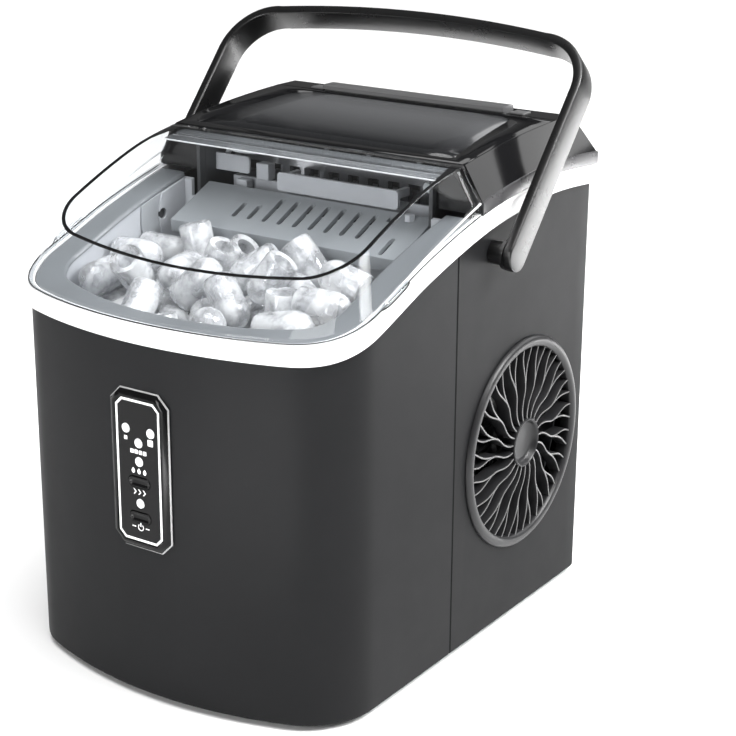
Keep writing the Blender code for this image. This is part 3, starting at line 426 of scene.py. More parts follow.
def ramp(tree, source, low, high, start=0.3, stop=0.7):
    """Map a factor to a colour between low and high."""
    node = new_node(tree, "ValToRGB", {"Fac": source})
    for element, place, colour in zip(node.color_ramp.elements, (start, stop), (low, high)):
        element.position = place
        element.color = (*colour, 1)
    return node.outputs["Color"]


def spread(tree, source, low, high, start=0.0, stop=1.0):
    """Map a factor in the range start to stop onto low to high."""
    return new_node(tree, "MapRange", {"Value": source, "From Min": start, "From Max": stop,
                                       "To Min": low, "To Max": high}).outputs["Result"]


def roughen(tree, bsdf, scale, detail, strength, depth_m):
    height = noise(tree, scale, detail)
    relief = new_node(tree, "Bump", {"Strength": strength, "Distance": depth_m, "Height": height})
    wire(bsdf, {"Normal": relief.outputs["Normal"]})


def surface(name, colour, rough, vary, grain, bump, metal=0.0, coat=0.0, specular=0.5):
    """Moulded or painted surface: faint colour drift, uneven gloss and a fine grain."""
    mat, tree, bsdf = new_material(name)
    low = [c * (1 - vary) for c in colour]
    high = [min(c * (1 + vary), 1.0) for c in colour]
    wire(bsdf, {"Base Color": ramp(tree, noise(tree, PATCH), low, high),
                "Roughness": spread(tree, noise(tree, PATCH * 3), rough * 0.88, rough * 1.12),
                "Metallic": metal, SPEC: specular, "Coat Weight": coat, "Coat Roughness": 0.08})
    roughen(tree, bsdf, grain, 2.0, bump, GRAIN_DEPTH_M)
    return mat


def pane(name, tint, facing, grazing, rough):
    """Thin clear sheet: it shows what is behind, and mirrors more at a glancing angle."""
    mat, tree, bsdf = new_material(name)
    low = [c * 0.985 for c in tint]
    through = new_node(tree, "BsdfTransparent",
                       {"Color": ramp(tree, noise(tree, 9.0, 2.0), low, tint)})
    weight = new_node(tree, "LayerWeight", {"Blend": 0.5})
    power = new_node(tree, "Math", {0: weight.outputs["Facing"], 1: 5.0})
    power.operation = "POWER"
    wire(bsdf, {"Base Color": (1, 1, 1, 1), "Metallic": 1.0, "Roughness": rough})
    mix = new_node(tree, "MixShader", {0: spread(tree, power.outputs[0], facing, grazing),
                                       1: through.outputs["BSDF"], 2: bsdf.outputs["BSDF"]})
    wire(tree.nodes["Material Output"], {"Surface": mix.outputs["Shader"]})
    return mat


def hazy(name, colour, alpha, rough):
    """Translucent moulding: part of its own colour, part of what is behind it."""
    mat = surface(name, colour, rough, 0.05, 900, 0.01)
    wire(mat.node_tree.nodes["Principled BSDF"], {"Alpha": alpha})
    return mat


def smoked_material_painted_reflection():
    """Smoked window: dark towards its front edge and greyer to the rear, where a reflection of light is
    painted into its colour.
    """
    mat, tree, bsdf = new_material("smoked_lid_painted_reflection")
    place = new_node(tree, "TexCoord", {}).outputs["Object"]
    split = new_node(tree, "SeparateXYZ", {0: place})
    # painted reflection: the colour runs from the dark smoked tone at the front to a lighter grey
    # towards the rear
    along = spread(tree, split.outputs["Y"], 0.0, 1.0, 0.030, 0.085)
    dark, grey = (0.012, 0.0125, 0.0135), (0.088, 0.090, 0.094)
    wire(bsdf, {"Base Color": ramp(tree, along, dark, grey, 0.0, 1.0),
                "Roughness": spread(tree, noise(tree, 40.0), 0.10, 0.16), "Alpha": 0.82})
    return mat


def ice_material():
    """Wet ice: clear in places and milky in others, with a melted, uneven skin."""
    mat, tree, bsdf = new_material("ice")
    cloudy = noise(tree, 75.0)
    wire(bsdf, {"Base Color": ramp(tree, cloudy, (0.84, 0.85, 0.87), (0.92, 0.93, 0.94)),
                "Roughness": spread(tree, cloudy, 0.02, 0.16),
                "Transmission Weight": spread(tree, cloudy, 0.80, 0.42, 0.40, 0.60),
                "IOR": 1.31, "Coat Weight": 0.6, "Coat Roughness": 0.03})
    roughen(tree, bsdf, 120.0, 3.0, 0.40, 0.0016)
    return mat


PAINT = surface("charcoal_paint", (0.0120, 0.0122, 0.0128), 0.44, 0.05, 2600, 0.03, specular=0.05)
WHITE = surface("white_gloss", (0.88, 0.88, 0.88), 0.22, 0.01, 1500, 0.01)
GREY = surface("bin_grey", (0.46, 0.475, 0.50), 0.38, 0.04, 1800, 0.03)
BOSS_GREY = surface("boss_grey", (0.33, 0.345, 0.36), 0.38, 0.04, 1800, 0.03)
PLATE = surface("plate_grey", (0.235, 0.25, 0.262), 0.38, 0.04, 1800, 0.03)
BEZEL = surface("bezel_grey", (0.165, 0.176, 0.186), 0.30, 0.04, 1500, 0.02)
BLACK = surface("piano_black", (0.006, 0.006, 0.0065), 0.10, 0.05, 1200, 0.01, specular=0.30)
SATIN = surface("satin_black", (0.004, 0.004, 0.0042), 0.28, 0.05, 2000, 0.03, specular=0.5)
LEDGE = surface("ledge_gloss", (0.045, 0.045, 0.047), 0.28, 0.05, 2000, 0.02, specular=0.9)
PANEL = surface("panel_black", (0.004, 0.004, 0.0042), 0.12, 0.05, 1200, 0.01, specular=0.15)
VANE = surface("vane_black", (0.014, 0.014, 0.015), 0.35, 0.08, 1500, 0.02)
# painted highlight: a lighter copy of the vane black for the faces that turn out towards the light
VANE_EDGE_HIGHLIGHT = surface("vane_edge_painted_highlight", (0.12, 0.12, 0.12), 0.30, 0.08, 1500, 0.02, specular=0.8)
RING = surface("grille_ring", (0.016, 0.016, 0.017), 0.34, 0.05, 2000, 0.02, specular=0.32)
DARK = surface("dark_moulding", (0.045, 0.047, 0.050), 0.45, 0.08, 1500, 0.04)
BAR = surface("hinge_bar_grey", (0.11, 0.11, 0.112), 0.35, 0.06, 1500, 0.02)
RUBBER = surface("rubber", (0.018, 0.018, 0.018), 0.75, 0.15, 1500, 0.08, specular=0.3)
STEEL = surface("steel", (0.60, 0.60, 0.61), 0.24, 0.06, 900, 0.03, metal=1.0)
COPPER = surface("copper", (0.75, 0.38, 0.24), 0.26, 0.12, 700, 0.03, metal=1.0)
ALUMINIUM = surface("aluminium", (0.74, 0.75, 0.77), 0.36, 0.06, 900, 0.04, metal=1.0)
ENAMEL = surface("black_enamel", (0.012, 0.012, 0.012), 0.30, 0.1, 1200, 0.03, coat=0.3)
BOARD = surface("circuit_board", (0.016, 0.13, 0.05), 0.42, 0.2, 400, 0.03)
LAMP = surface("lamp_lens", (0.86, 0.87, 0.88), 0.20, 0.02, 900, 0.01, coat=0.4)
MARK = surface("printed_mark", (0.88, 0.88, 0.88), 0.40, 0.02, 1800, 0.02)
EDGE_LINE = surface("thin_grey_line", (0.30, 0.30, 0.30), 0.25, 0.05, 900, 0.01)
HOSE = surface("silicone_hose", (0.72, 0.75, 0.77), 0.25, 0.04, 900, 0.02)
CLEAR = pane("clear_lid", (0.985, 0.99, 0.995), 0.012, 0.6, 0.03)
CLEAR_EDGE = pane("clear_lid_edge", (0.80, 0.82, 0.84), 0.10, 1.0, 0.05)
# painted highlight: near-white, mostly opaque, for thin lines where clear edges catch the light
PAINTED_HIGHLIGHT = hazy("clear_edge_painted_highlight", (0.86, 0.87, 0.88), 0.75, 0.08)
FROST = hazy("frosted_clear", (0.17, 0.18, 0.19), 0.55, 0.22)
SMOKE_PAINTED_REFLECTION = smoked_material_painted_reflection()
ICE = ice_material()

KEPT = (
    (DARK, "base_pan ice_full_sensor evaporator_bay tray_motor fan_shroud fan_motor water_pump"),
    (STEEL, "hinge_pin evaporator capillary_tube suction_tube hot_gas_valve"),
    (BOARD, "control_board power_board"), (GREY, "water_tray ice_basket"),
    (ENAMEL, "compressor"), (ALUMINIUM, "condenser"), (WHITE, "pump_impeller"),
    (SATIN, "fan power_inlet handle_stud_left handle_stud_right"), (HOSE, "water_hose"),
    (COPPER, "discharge_tube liquid_tube filter_drier"),
    (RUBBER, "drain_hose drain_cap compressor_mount_1 compressor_mount_2 compressor_mount_3 "
             "foot_front_left foot_front_right foot_rear_left foot_rear_right"),
)


def dress_kept_nodes():
    """Give each CAD node that stays visible its finish and softened edges."""
    for mat, names in KEPT:
        for name in names.split():
            node = NODES[name]
            node.data.materials.clear()
            node.data.materials.append(mat)
            soften(node, 0.4, 30)


# ---- cabinet ----
SHELL_FOOT_R = 2.0             # rounding of the shells' lower edge
SEAM_TURN = 0.6                # rounding of their upright edges at the seam
GRILLE_HOLE_R = 58.0
SLOT_ROWS = 9
PANEL_Z = node_centre("control_bezel").z
PANEL_W, PANEL_H, PANEL_CUT = 40.0, 90.0, 7.0
PANEL_HOLE_INSET = 1.7


def octagon(inset):
    w, h = PANEL_W / 2 - inset, PANEL_H / 2 - inset
    c = PANEL_CUT - inset * (2 - sqrt(2))
    half = [(w, -h + c), (w, h - c), (w - c, h), (-w + c, h)]
    return half + [(-u, -v) for u, v in half]


def panel_points(inset):
    return [(u, PANEL_Z + v) for u, v in octagon(inset)]


def shell_profile(tuck):
    """Cabinet wall section; tuck draws its outer face in, for a rounded seam."""
    r = SHELL_FOOT_R
    foot = [(tuck + r * (1 - s), BODY_BASE + r * (1 - c)) for c, s in quarter(4)]
    top = above_band(-GAP)
    return foot + [(tuck, top), (WALL, top), (WALL, BODY_BASE)]


def seam_sections(path):
    """Cabinet sections whose two free ends are rounded over into the seam."""
    ends = []
    for station, inner in ((path[0], path[1]), (path[-1], path[-2])):
        way = 1 if inner[1] > station[1] else -1
        x, y, nx, ny = station
        full = (x, y + way * SEAM_TURN, nx, ny)
        ends.append([section(station, shell_profile(SEAM_TURN)), section(full, shell_profile(0))])
    return ends[0] + [section(s, shell_profile(0)) for s in path[1:-1]] + ends[1][::-1]


def build_shells():
    front = piece("front_shell_skin",
                  lambda bm: add_strip(bm, seam_sections(front_path(SEAM_Y - SEAM_HALF))),
                  PAINT, "cabinet", ["front_shell"])
    cut(front, lambda bm: add_prism(bm, panel_points(PANEL_HOLE_INSET), "Y", -150, -125))
    rear = piece("rear_shell_skin",
                 lambda bm: add_strip(bm, seam_sections(rear_path(SEAM_Y + SEAM_HALF))),
                 PAINT, "cabinet", ["rear_shell"])

    def openings(bm):
        add_rod(bm, "X", (0, FAN_AXIS.y, FAN_AXIS.z), GRILLE_HOLE_R, 100, 120, 64)
        for node, radius in (("drain_cap", 10.0), ("power_inlet", 7.2)):
            c = node_centre(node)
            add_rod(bm, "Y", (c.x, 0, c.z), radius, 130, 150, 40)
        for k in range(SLOT_ROWS):
            z = 59.6 + 7.5 * k
            add_prism(bm, rounded_rect(36, 1.6, 1.5, 4, (70, z)), "X", -120, -100)
            x = -32 + 8.0 * k
            add_prism(bm, rounded_rect(1.6, 25, 1.5, 4, (x, 91)), "Y", 130, 150)
    cut(rear, openings)


def build_band():
    """White band: a flat face with rounded upper and lower edges."""
    r = 1.5
    profile = [(-BAND_PROUD + r * (1 - s), above_band(r * (1 - c))) for c, s in quarter(4)]
    profile += [(-BAND_PROUD + r * (1 - c), above_band(BAND_H - r * (1 - s)))
                for c, s in quarter(4)]
    profile += [(2.4, above_band(BAND_H)), (2.4, band_z)]
    path = front_path(SEAM_Y) + rear_path(SEAM_Y)[1:-1]
    piece("trim_band_skin", lambda bm: add_strip(bm, [section(s, profile) for s in path], True),
          WHITE, "cabinet", ["trim_band"])


def build_bezel():
    """Grey rim of the ice bin: nearly flat, rolled over at its inner edge."""
    top, low, inner, roll = 10.7, 8.2, 20.0, 2.2
    profile = [(2.8, above_band(low)), (2.8, above_band(top - 0.6)), (3.4, above_band(top))]
    profile += [(inner - roll + roll * s, above_band(top - roll * (1 - c))) for c, s in quarter(4)]
    profile.append((inner, above_band(low)))
    sections = [section(s, profile) for s in front_path(7.6)]
    piece("top_bezel_skin", lambda bm: add_strip(bm, sections), BEZEL, "cabinet",
          ["top_bezel"])


# ---- rear housing ----
WING_INSET = 28.0
DECK_DROP = 3.6
POCKET_R = 9.8
PIN_BORE_R = 2.1


def lid_axis_rod(radius, reach, sides):
    """A build function for a rod along the lid's axis, as far to either side."""
    return lambda bm: add_rod(bm, "X", (0, LID_AXIS.y, LID_AXIS.z), radius, -reach, reach, sides)


def build_rear_housing():
    def deck(y):
        return lid_z(y) - DECK_DROP

    def profile(rear):
        recess = 27.9 if rear else 11.2
        low, rise = above_band(BAND_H + GAP), BAND_H + LEDGE_H
        return [(-2.0, low), (-2.0, above_band(rise - 1.0)), (-1.7, above_band(rise - 0.3)),
                (-1.0, above_band(rise)), (9.8, lambda y: lid_z(y) - 0.6), (10.5, lid_z),
                (recess, lid_z), (recess + 0.05, deck), (WING_INSET, deck), (WING_INSET, low)]
    start, stop = LID_SPLIT_Y + GAP, LID_REAR + 1.0
    steps = 24
    right = [section((HALF_W, start + (stop - start) * k / steps, 1, 0), profile(False))
             for k in range(steps + 1)]
    right.append(section((HALF_W, stop + GAP, 1, 0), profile(True)))
    right.append(section((HALF_W, HALF_D, 1, 1), profile(True)))
    left = [[(-x, y, z) for x, y, z in sec] for sec in reversed(right)]
    housing = piece("rear_housing_skin", lambda bm: add_strip(bm, right + left),
                    BLACK, "cabinet", ["rear_housing"], 25)
    housing.data.materials.append(LEDGE)
    for face in housing.data.polygons:
        if abs(face.center.x) / MM > HALF_W + 0.8:
            face.material_index = 1

    def knuckles(bm):
        for side in (-1, 1):
            start, end = sorted((67.3 * side, 77.0 * side))
            add_box(bm, (start, 116.5, 287.0), (end, 126.0, 293.6))
    soften(piece("hinge_knuckles", knuckles, BAR, "cabinet", (), 30), 0.6)
    cut(housing, lid_axis_rod(POCKET_R, 67, 48))
    cut(housing, lid_axis_rod(PIN_BORE_R, 80, 24))


def build_hinge_bar():
    def bar(bm):
        add_prism(bm, [(112.4, 293.8), (113.0, 295.9), (114.2, 296.6), (124.0, 296.6),
                       (125.4, 295.9), (125.8, 294.6), (125.8, 292.6), (119.0, 292.0),
                       (113.6, 293.8)], "X", -65, 65)
    ob = piece("hinge_bar_skin", bar, BAR, "lid", ["hinge_bar"])
    cut(ob, lid_axis_rod(5.4, 64.5, 40), "UNION")
    cut(ob, lid_axis_rod(PIN_BORE_R, 70, 24))


# ---- lid ----
LID_WALL = 2.2
WINDOW_FRONT, WINDOW_REAR, WINDOW_HALF_W, WINDOW_R = 19.0, 108.0, 89.0, 12.0
WINDOW_TAPER = 13.0            # how much each half of the window narrows to its rear
RIM_LOW, RIM_HIGH = 3.0, 8.0
CREST_W = 1.6                  # width of the dark line round the lid top, at the front
CREST_SIDE = 1.1               # how much wider it is along the sides
CREST_GROWTH = 4.4             # how much it widens towards the joint


def rim_height(y):
    """Height of the clear lid's upright rim: low at the front, tall at its rear end."""
    return RIM_LOW + (RIM_HIGH - RIM_LOW) * min(max((y + 75) / 87, 0), 1) ** 1.5


def rim_point(station, inset=-0.9):
    """Foot of the lid's rim at a station; a negative inset lies outside the cabinet face."""
    x, y, nx, ny = station
    return x - inset * nx, y - inset * ny, band_z(y - 2.6 * ny) + BAND_H + GAP


def side_rim(y):
    """Foot of the rim on the lid's straight right side."""
    return rim_point((HALF_W, y, 1, 0))


def across(x, y, z):
    """Nine points from x to -x, one row of a sheet."""
    return [(x * (1 - 2 * k / 8), y, z) for k in range(9)]


def build_lid_shell():
    """Clear lid: an upright rim, a sloping skirt and a gently arched top."""
    rim = front_path(LID_SPLIT_Y - 0.6)
    crest = lid_path(LID_SPLIT_Y - 0.6)
    rows = []
    for r, c in zip(rim, crest):
        low = rim_point(r)
        shoulder = (low[0], low[1], low[2] + rim_height(low[1]))
        top = (c[0], c[1], lid_z(c[1]))
        slope = [tuple(shoulder[k] * (1 - t) + top[k] * t for k in range(3))
                 for t in (0.25, 0.5, 0.75)]
        rows.append([low, shoulder] + slope + [top])
    tops = [across(c[0], c[1], lid_z(c[1])) for c in crest[:len(crest) // 2 + 1]]

    def build(bm):
        add_sheet(bm, rows)
        add_sheet(bm, tops)
    shell = piece("lid_shell_skin", build, CLEAR, "lid", ["lid_shell"], 20)
    shell.data.materials.append(CLEAR_EDGE)
    thicken(shell, LID_WALL)
    shell.modifiers["wall"].material_offset_rim = 1


def window_outline(inset):
    """Right half of the window opening, front to back, as (x, y)."""
    front, rear = WINDOW_FRONT + inset, WINDOW_REAR - inset

    def half_w(y):
        return WINDOW_HALF_W - inset - WINDOW_TAPER * (y - WINDOW_FRONT) / (WINDOW_REAR - WINDOW_FRONT)
    points = []
    for k in range(9):
        y = front + (rear - WINDOW_R - front) * k / 8
        points.append((half_w(y), y))
    side = half_w(rear) - WINDOW_R
    for k, (c, s) in enumerate(quarter(8, 1), 1):
        points.append((side + WINDOW_R * c + 1.6 * (1 - k / 8), rear - WINDOW_R + WINDOW_R * s))
    return points


def build_lid_frame():
    inner = window_outline(0)
    half_w = LID_HALF_W - 1.0
    outer = [(half_w, LID_SPLIT_Y + 0.6)] + [(half_w, y) for _, y in inner[1:-1]]
    outer[-1] = (half_w, LID_REAR)
    outer.append((inner[-1][0], LID_REAR))
    ring = list(zip(outer, inner))
    ring += [((-a[0], a[1]), (-b[0], b[1])) for a, b in reversed(ring)]

    def build(bm):
        rows = [[(x, y, lid_z(y)) for x, y in pair] for pair in ring]
        add_sheet(bm, rows + rows[:1])
    thicken(piece("lid_frame_skin", build, BLACK, "lid", ["lid_frame"], 25), 2.4)
    rows = [across(x, y, lid_z(y) - GAP) for x, y in window_outline(0.4)]
    thicken(piece("lid_window_skin", lambda bm: add_sheet(bm, rows), SMOKE_PAINTED_REFLECTION, "lid",
                  ["lid_window"], 25), 1.8)


def skirt_point(side, y, t, depth):
    """A point below the lid's sloping side, from crest (t = 0) to shoulder (t = 1)."""
    x, py, low = side_rim(y)
    shoulder = Vector((x, py, low + rim_height(py)))
    top = Vector((LID_HALF_W, y, lid_z(y)))
    along = shoulder - top
    inward = Vector((along.z, 0, -along.x)).normalized()
    p = top + along * t + inward * depth
    return (side * p.x, p.y, p.z)


def tab_reach(k, steps):
    """How far a finger tab stands out at one of its steps: it runs out at both ends."""
    return 2.0 * (1 - abs(2 * k / steps - 1) ** 6)


def build_lid_lines():
    """The lid's dark crest, its rim beads and joint edges drawn near-white as painted highlights, a dark
    line round the rim's foot as painted shade of the gap, and its two joint bars.
    """
    crest = []
    for x, y, nx, ny in lid_path(LID_SPLIT_Y - 0.8):
        width = CREST_W + CREST_SIDE * abs(nx) + CREST_GROWTH * min(max((y + 14) / 24, 0), 1)
        crest.append([(x - inset * nx, y - inset * ny, lid_z(y - inset * ny) - drop)
                      for inset, drop in ((0.3, 0.35), (width, 0.35), (width, 0.8), (0.3, 0.8))])
    piece("lid_crest_line", lambda bm: add_strip(bm, crest), BLACK, "lid",
          (), 0)
    # a dark tube round the rim's foot: painted shade of the gap between the lid and the band
    foot = [rim_point(s, -1.0) for s in front_path(LID_SPLIT_Y - 1.6)]
    painted_shade_line = [(x, y, z + 0.35) for x, y, z in foot]
    piece("lid_rim_painted_shade", lambda bm: add_tube(bm, painted_shade_line, 0.34, 8, 1), SATIN, "lid")

    # the beads are near-white lines along the rim, painted highlights
    def beads(bm):
        for side in (1, -1):
            for high, radius in ((0.0, 0.55), (1.3, 0.3)):
                line = []
                for k in range(25):
                    x, y, z = side_rim(LID_SPLIT_Y - 1.6 - 92.0 * k / 24)
                    line.append((side * (x + 0.2), y, z + (high or rim_height(y) - radius)))
                add_tube(bm, line, radius, 8, 1)
    piece("lid_rim_beads_painted_highlight", beads, PAINTED_HIGHLIGHT, "lid")

    def end_strips(bm):
        for side in (1, -1):
            rows = []
            for k in range(9):
                t = 0.02 + 0.94 * k / 8
                front, rear = 3.5 + 5.5 * t, 11.2
                rows.append([skirt_point(side, y, t, depth) for y, depth in
                             ((front, 2.6), (rear, 2.6), (rear, 3.6), (front, 3.6))])
            add_strip(bm, rows)
    piece("lid_end_strips", end_strips, PANEL, "lid", (), 30)

    def tabs(bm):
        for side in (1, -1):
            rows = []
            for k in range(17):
                x, y, z = side_rim(-84.0 + 24.0 * k / 16)
                reach = tab_reach(k, 16) + 0.1
                rows.append([(side * (x + out), y, z + up) for out, up in
                             ((0.1, 0.5), (reach, 0.5), (reach, 2.2), (0.1, 3.2))])
            add_strip(bm, rows)
    soften(piece("lid_finger_tabs", tabs, CLEAR_EDGE, "lid", (), 30), 0.3)

    def tab_lines(bm):
        for side in (1, -1):
            line = []
            for k in range(13):
                x, y, z = side_rim(-84.5 + 25.0 * k / 12)
                line.append((side * (x + tab_reach(k, 12) + 0.25), y, z + 0.45))
            add_tube(bm, line, 0.4, 8, 2)
    piece("lid_tab_lines", tab_lines, SATIN, "lid")
    half_w = 94.0
    for name, front, rear in (("lid_joint_bar_front", -6.0, 1.6), ("lid_joint_bar_rear", 4.2, 11.2)):
        rows = []
        for k in range(5):
            y = front + (rear - front) * k / 4
            rows.append([(half_w * n / 2, y, lid_z(y) - LID_WALL - 0.4) for n in range(-2, 3)])
        thicken(piece(name, lambda bm: add_sheet(bm, rows), FROST, "lid"), 1.3)

    # the joint bar's edges as near-white lines, painted highlights
    def edges(bm):
        for y, radius in ((-6.3, 0.45), (1.9, 0.25)):
            z = lid_z(y) - LID_WALL - 1.1
            add_tube(bm, [(half_w * (1 - k / 10), y, z) for k in range(21)], radius, 8, 1)
    piece("lid_joint_edges_painted_highlight", edges, PAINTED_HIGHLIGHT, "lid")


# ---- handle ----
HANDLE_HALF_W = 127.4
HANDLE_REACH = 136.6
HANDLE_R = 34.0
HANDLE_T = 5.5
HANDLE_DEPTH = 18.0
HANDLE_CROWN = 5.8
HANDLE_EDGE = 0.9


def handle_path():
    """Half path of the strap's outer face: (x, reach, half depth, nx, nr)."""
    tip = HANDLE_DEPTH / 2
    top = HANDLE_REACH - HANDLE_R
    span = HANDLE_HALF_W - HANDLE_R
    points = [(HANDLE_HALF_W, -tip * c, tip * s, 1.0, 0.0) for c, s in quarter(12, 1)]
    points += [(HANDLE_HALF_W, top * k / 8, tip, 1.0, 0.0) for k in range(1, 9)]
    points += [(HANDLE_HALF_W - HANDLE_R * (1 - c), top + HANDLE_R * s, tip, c, s)
               for c, s in quarter(18, 1)]
    for k in range(1, 15):
        u = 1 - k / 14
        points.append((span * u, HANDLE_REACH + HANDLE_CROWN * (1 - u * u), tip, 0.0, 1.0))
    return points


def build_handle():
    along = Vector((0, cos(HANDLE_TILT), sin(HANDLE_TILT)))
    lift = Vector((0, -sin(HANDLE_TILT), cos(HANDLE_TILT)))

    def ring(x, reach, depth, nx, nr):
        edge = min(HANDLE_EDGE, depth * 0.45)
        points = []
        for into, offset in rounded_rect(HANDLE_T / 2, depth, edge, 3, (HANDLE_T / 2, 0)):
            px, pr = x - into * nx, reach - into * nr
            points.append(HANDLE_AXIS + Vector((px, 0, 0)) + along * pr + lift * offset)
        return points
    half = [ring(*s) for s in handle_path()]
    full = half + [[Vector((-p.x, p.y, p.z)) for p in sec] for sec in reversed(half[:-1])]
    ob = piece("handle_skin", lambda bm: add_strip(bm, full), SATIN, "carry_handle",
               ["handle"], 30)
    inner = HANDLE_HALF_W - HANDLE_T

    def bores(bm):
        for side in (-1, 1):
            start, end = sorted((side * (inner - 2), side * (inner + 3.9)))
            add_rod(bm, "X", (0, HANDLE_AXIS.y, HANDLE_AXIS.z), 3.3, start, end)
    cut(ob, bores)


# ---- side grille ----
GRILLE_R = 63.8
GRILLE_LIP_R = 57.1
GRILLE_OPEN_R = 57.0
HUB_R = 14.5
VANE_TRUNKS = 21
VANE_FORK = 0.47               # where each trunk divides, as a fraction from hub to ring
TRUNK_LEAN = radians(10.3)
BRANCH_LEAN = radians(-8.3)
BRANCH_STRAIGHT = radians(0.3)
VANE_WAVE = 0.022


def ease(t):
    t = min(max(t, 0.0), 1.0)
    return t * t * (3 - 2 * t)


def outward(radius):
    """Fraction of the way from the hub to the ring."""
    return (radius - HUB_R) / (GRILLE_OPEN_R - HUB_R)


def build_grille():
    centre = (0, FAN_AXIS.y, FAN_AXIS.z)
    back = 106.0

    def frame_ring(bm):
        base = HALF_W + GAP
        middle, half = (GRILLE_R + GRILLE_LIP_R) / 2, (GRILLE_R - GRILLE_LIP_R) / 2
        outer = []
        for k in range(17):
            a = pi * k / 16
            outer.append((middle + half * cos(a), base + 2.9 * sin(a)))
        wall_r = GRILLE_LIP_R + 0.6
        add_turned(bm, "X", centre, outer + [(GRILLE_LIP_R, back), (wall_r, back), (wall_r, base)], 96)
        add_turned(bm, "X", centre, [
            (0, 110.7), (6.0, 110.6), (9.6, 110.7), (11.4, 111.2), (12.4, 112.2), (12.9, 113.6),
            (13.3, 114.5), (13.9, 114.8), (14.5, 114.4), (HUB_R, 113.4), (HUB_R, back), (0, back)])
    piece("side_grille_skin", frame_ring, RING, "cabinet", ["side_grille"], 40)

    def vane(bm, n, branch, start, half):
        """One vane of trunk n, from radius start to the ring."""
        sections = []
        for k in range(21):
            r = start + (GRILLE_OPEN_R + 0.5 - start) * k / 20
            t = outward(r)
            sweep = (-TRUNK_LEAN * ease(t / VANE_FORK) + branch * ease((t - VANE_FORK) / (1 - VANE_FORK))
                     + VANE_WAVE * sin(3 * pi * t))
            front = 112.6 + 1.3 * (1 - t)
            row = []
            for side, x in ((-1, back - 1), (-1, front - 0.7), (-0.72, front - 0.2), (0, front),
                            (0.72, front - 0.2), (1, front - 0.7), (1, back - 1)):
                a = 2 * pi * n / VANE_TRUNKS + sweep + side * half / r
                row.append((x, centre[1] + r * cos(a), centre[2] + r * sin(a)))
            sections.append(row)
        add_strip(bm, sections)

    def vanes(bm):
        fork_r = HUB_R + VANE_FORK * (GRILLE_OPEN_R - HUB_R)
        for n in range(VANE_TRUNKS):
            vane(bm, n, BRANCH_LEAN, HUB_R - 0.5, 0.62)
            vane(bm, n, BRANCH_STRAIGHT, fork_r, 0.60)
    ob = piece("grille_vanes", vanes, VANE, "cabinet", (), 40)
    ob.data.materials.append(VANE_EDGE_HIGHLIGHT)
    # faces turned outwards take the lighter copy, a painted highlight along the vanes' front edges
    for face in ob.data.polygons:
        face.material_index = 1 if face.normal.x > 0.4 else 0


# ---- control panel ----
PANEL_FRONT = -145.3
FACE_FRONT, FACE_BACK = -144.9, -142.9
FACE_INSET = 5.0               # the face plate's edge, in from the bezel's outer edge
LAMP_R = 2.7
KEY_HALF_W, KEY_HALF_H, KEY_R = 7.2, 3.0, 2.6
KEY_FRONT = -145.3
LAMP_NODES = ("size_small_led", "size_large_led", "ice_full_led", "add_water_led", "power_led")
KEY_BODIES = {"select_button": "select_key", "power_button": "power_key"}


def build_panel():
    """Raised octagonal bezel, its face plate with the white outline, the lamps and the keys."""
    lip = FACE_INSET - GAP
    rings = [[(u, y, v) for u, v in panel_points(inset)] for inset, y in (
        (0, -142.8), (0.7, -143.45), (1.4, -144.15), (2.2, -144.75), (3.0, -145.15),
        (3.7, PANEL_FRONT), (4.3, PANEL_FRONT), (lip, FACE_FRONT), (lip, -134), (2.0, -134),
        (2.0, -142.8))]
    bezel = piece("control_bezel_skin", lambda bm: add_strip(bm, list(zip(*rings)), True), PANEL,
                  "cabinet", ["control_bezel"], 32)
    bezel.data.materials.append(EDGE_LINE)
    for face in bezel.data.polygons:
        centre = face.center / MM
        u, v = abs(centre.x), abs(centre.z - PANEL_Z)
        inset = min(PANEL_W / 2 - u, PANEL_H / 2 - v,
                    (PANEL_W / 2 + PANEL_H / 2 - PANEL_CUT - u - v) / sqrt(2))
        if inset < 0.5 and centre.y < -142.9:
            face.material_index = 1
    plate = piece("control_face_skin",
                  lambda bm: add_prism(bm, panel_points(FACE_INSET), "Y", FACE_FRONT, FACE_BACK),
                  PANEL, "cabinet", ["control_face"])

    def holes(bm):
        for node in LAMP_NODES:
            c = node_centre(node)
            add_rod(bm, "Y", (c.x, 0, c.z), LAMP_R + GAP, -150, -130)
        for node in KEY_BODIES:
            c = node_centre(node)
            outline = rounded_rect(KEY_HALF_W + GAP, KEY_HALF_H + GAP, KEY_R + GAP, 8, (c.x, c.z))
            add_prism(bm, outline, "Y", -150, -130)
    cut(plate, holes)
    line = list(zip(*([(u, FACE_FRONT - 0.05, v) for u, v in panel_points(inset)]
                      for inset in (FACE_INSET + 0.1, FACE_INSET + 1.4))))
    thicken(piece("panel_frame_line", lambda bm: add_sheet(bm, line + line[:1]), MARK, "cabinet",
                  (), 0), 0.06)
    dome = [(LAMP_R * s, -144.7 - 0.7 * c) for c, s in quarter(6, 1)]
    lens = [(0, -145.4)] + dome + [(LAMP_R, -137.2), (0, -137.2)]
    for node in LAMP_NODES:
        c = node_centre(node)
        piece(node + "_lens", lambda bm: add_turned(bm, "Y", (c.x, 0, c.z), lens, 32), LAMP,
              "cabinet", [node])
    for node, body in KEY_BODIES.items():
        c = node_centre(node)
        loops = []
        for inset, y in ((0, -138.2), (0, -144.7), (0.12, -145.1), (0.4, KEY_FRONT),
                         (0.75, KEY_FRONT), (1.1, -145.05), (1.6, -144.75), (2.2, -144.6)):
            flat = rounded_rect(KEY_HALF_W - inset, KEY_HALF_H - inset, max(KEY_R - inset, 0.3),
                                8, (c.x, c.z))
            loops.append([(u, y, v) for u, v in flat])
        piece(node + "_cap", lambda bm: add_strip(bm, loops), PANEL, body,
              [node], 50)


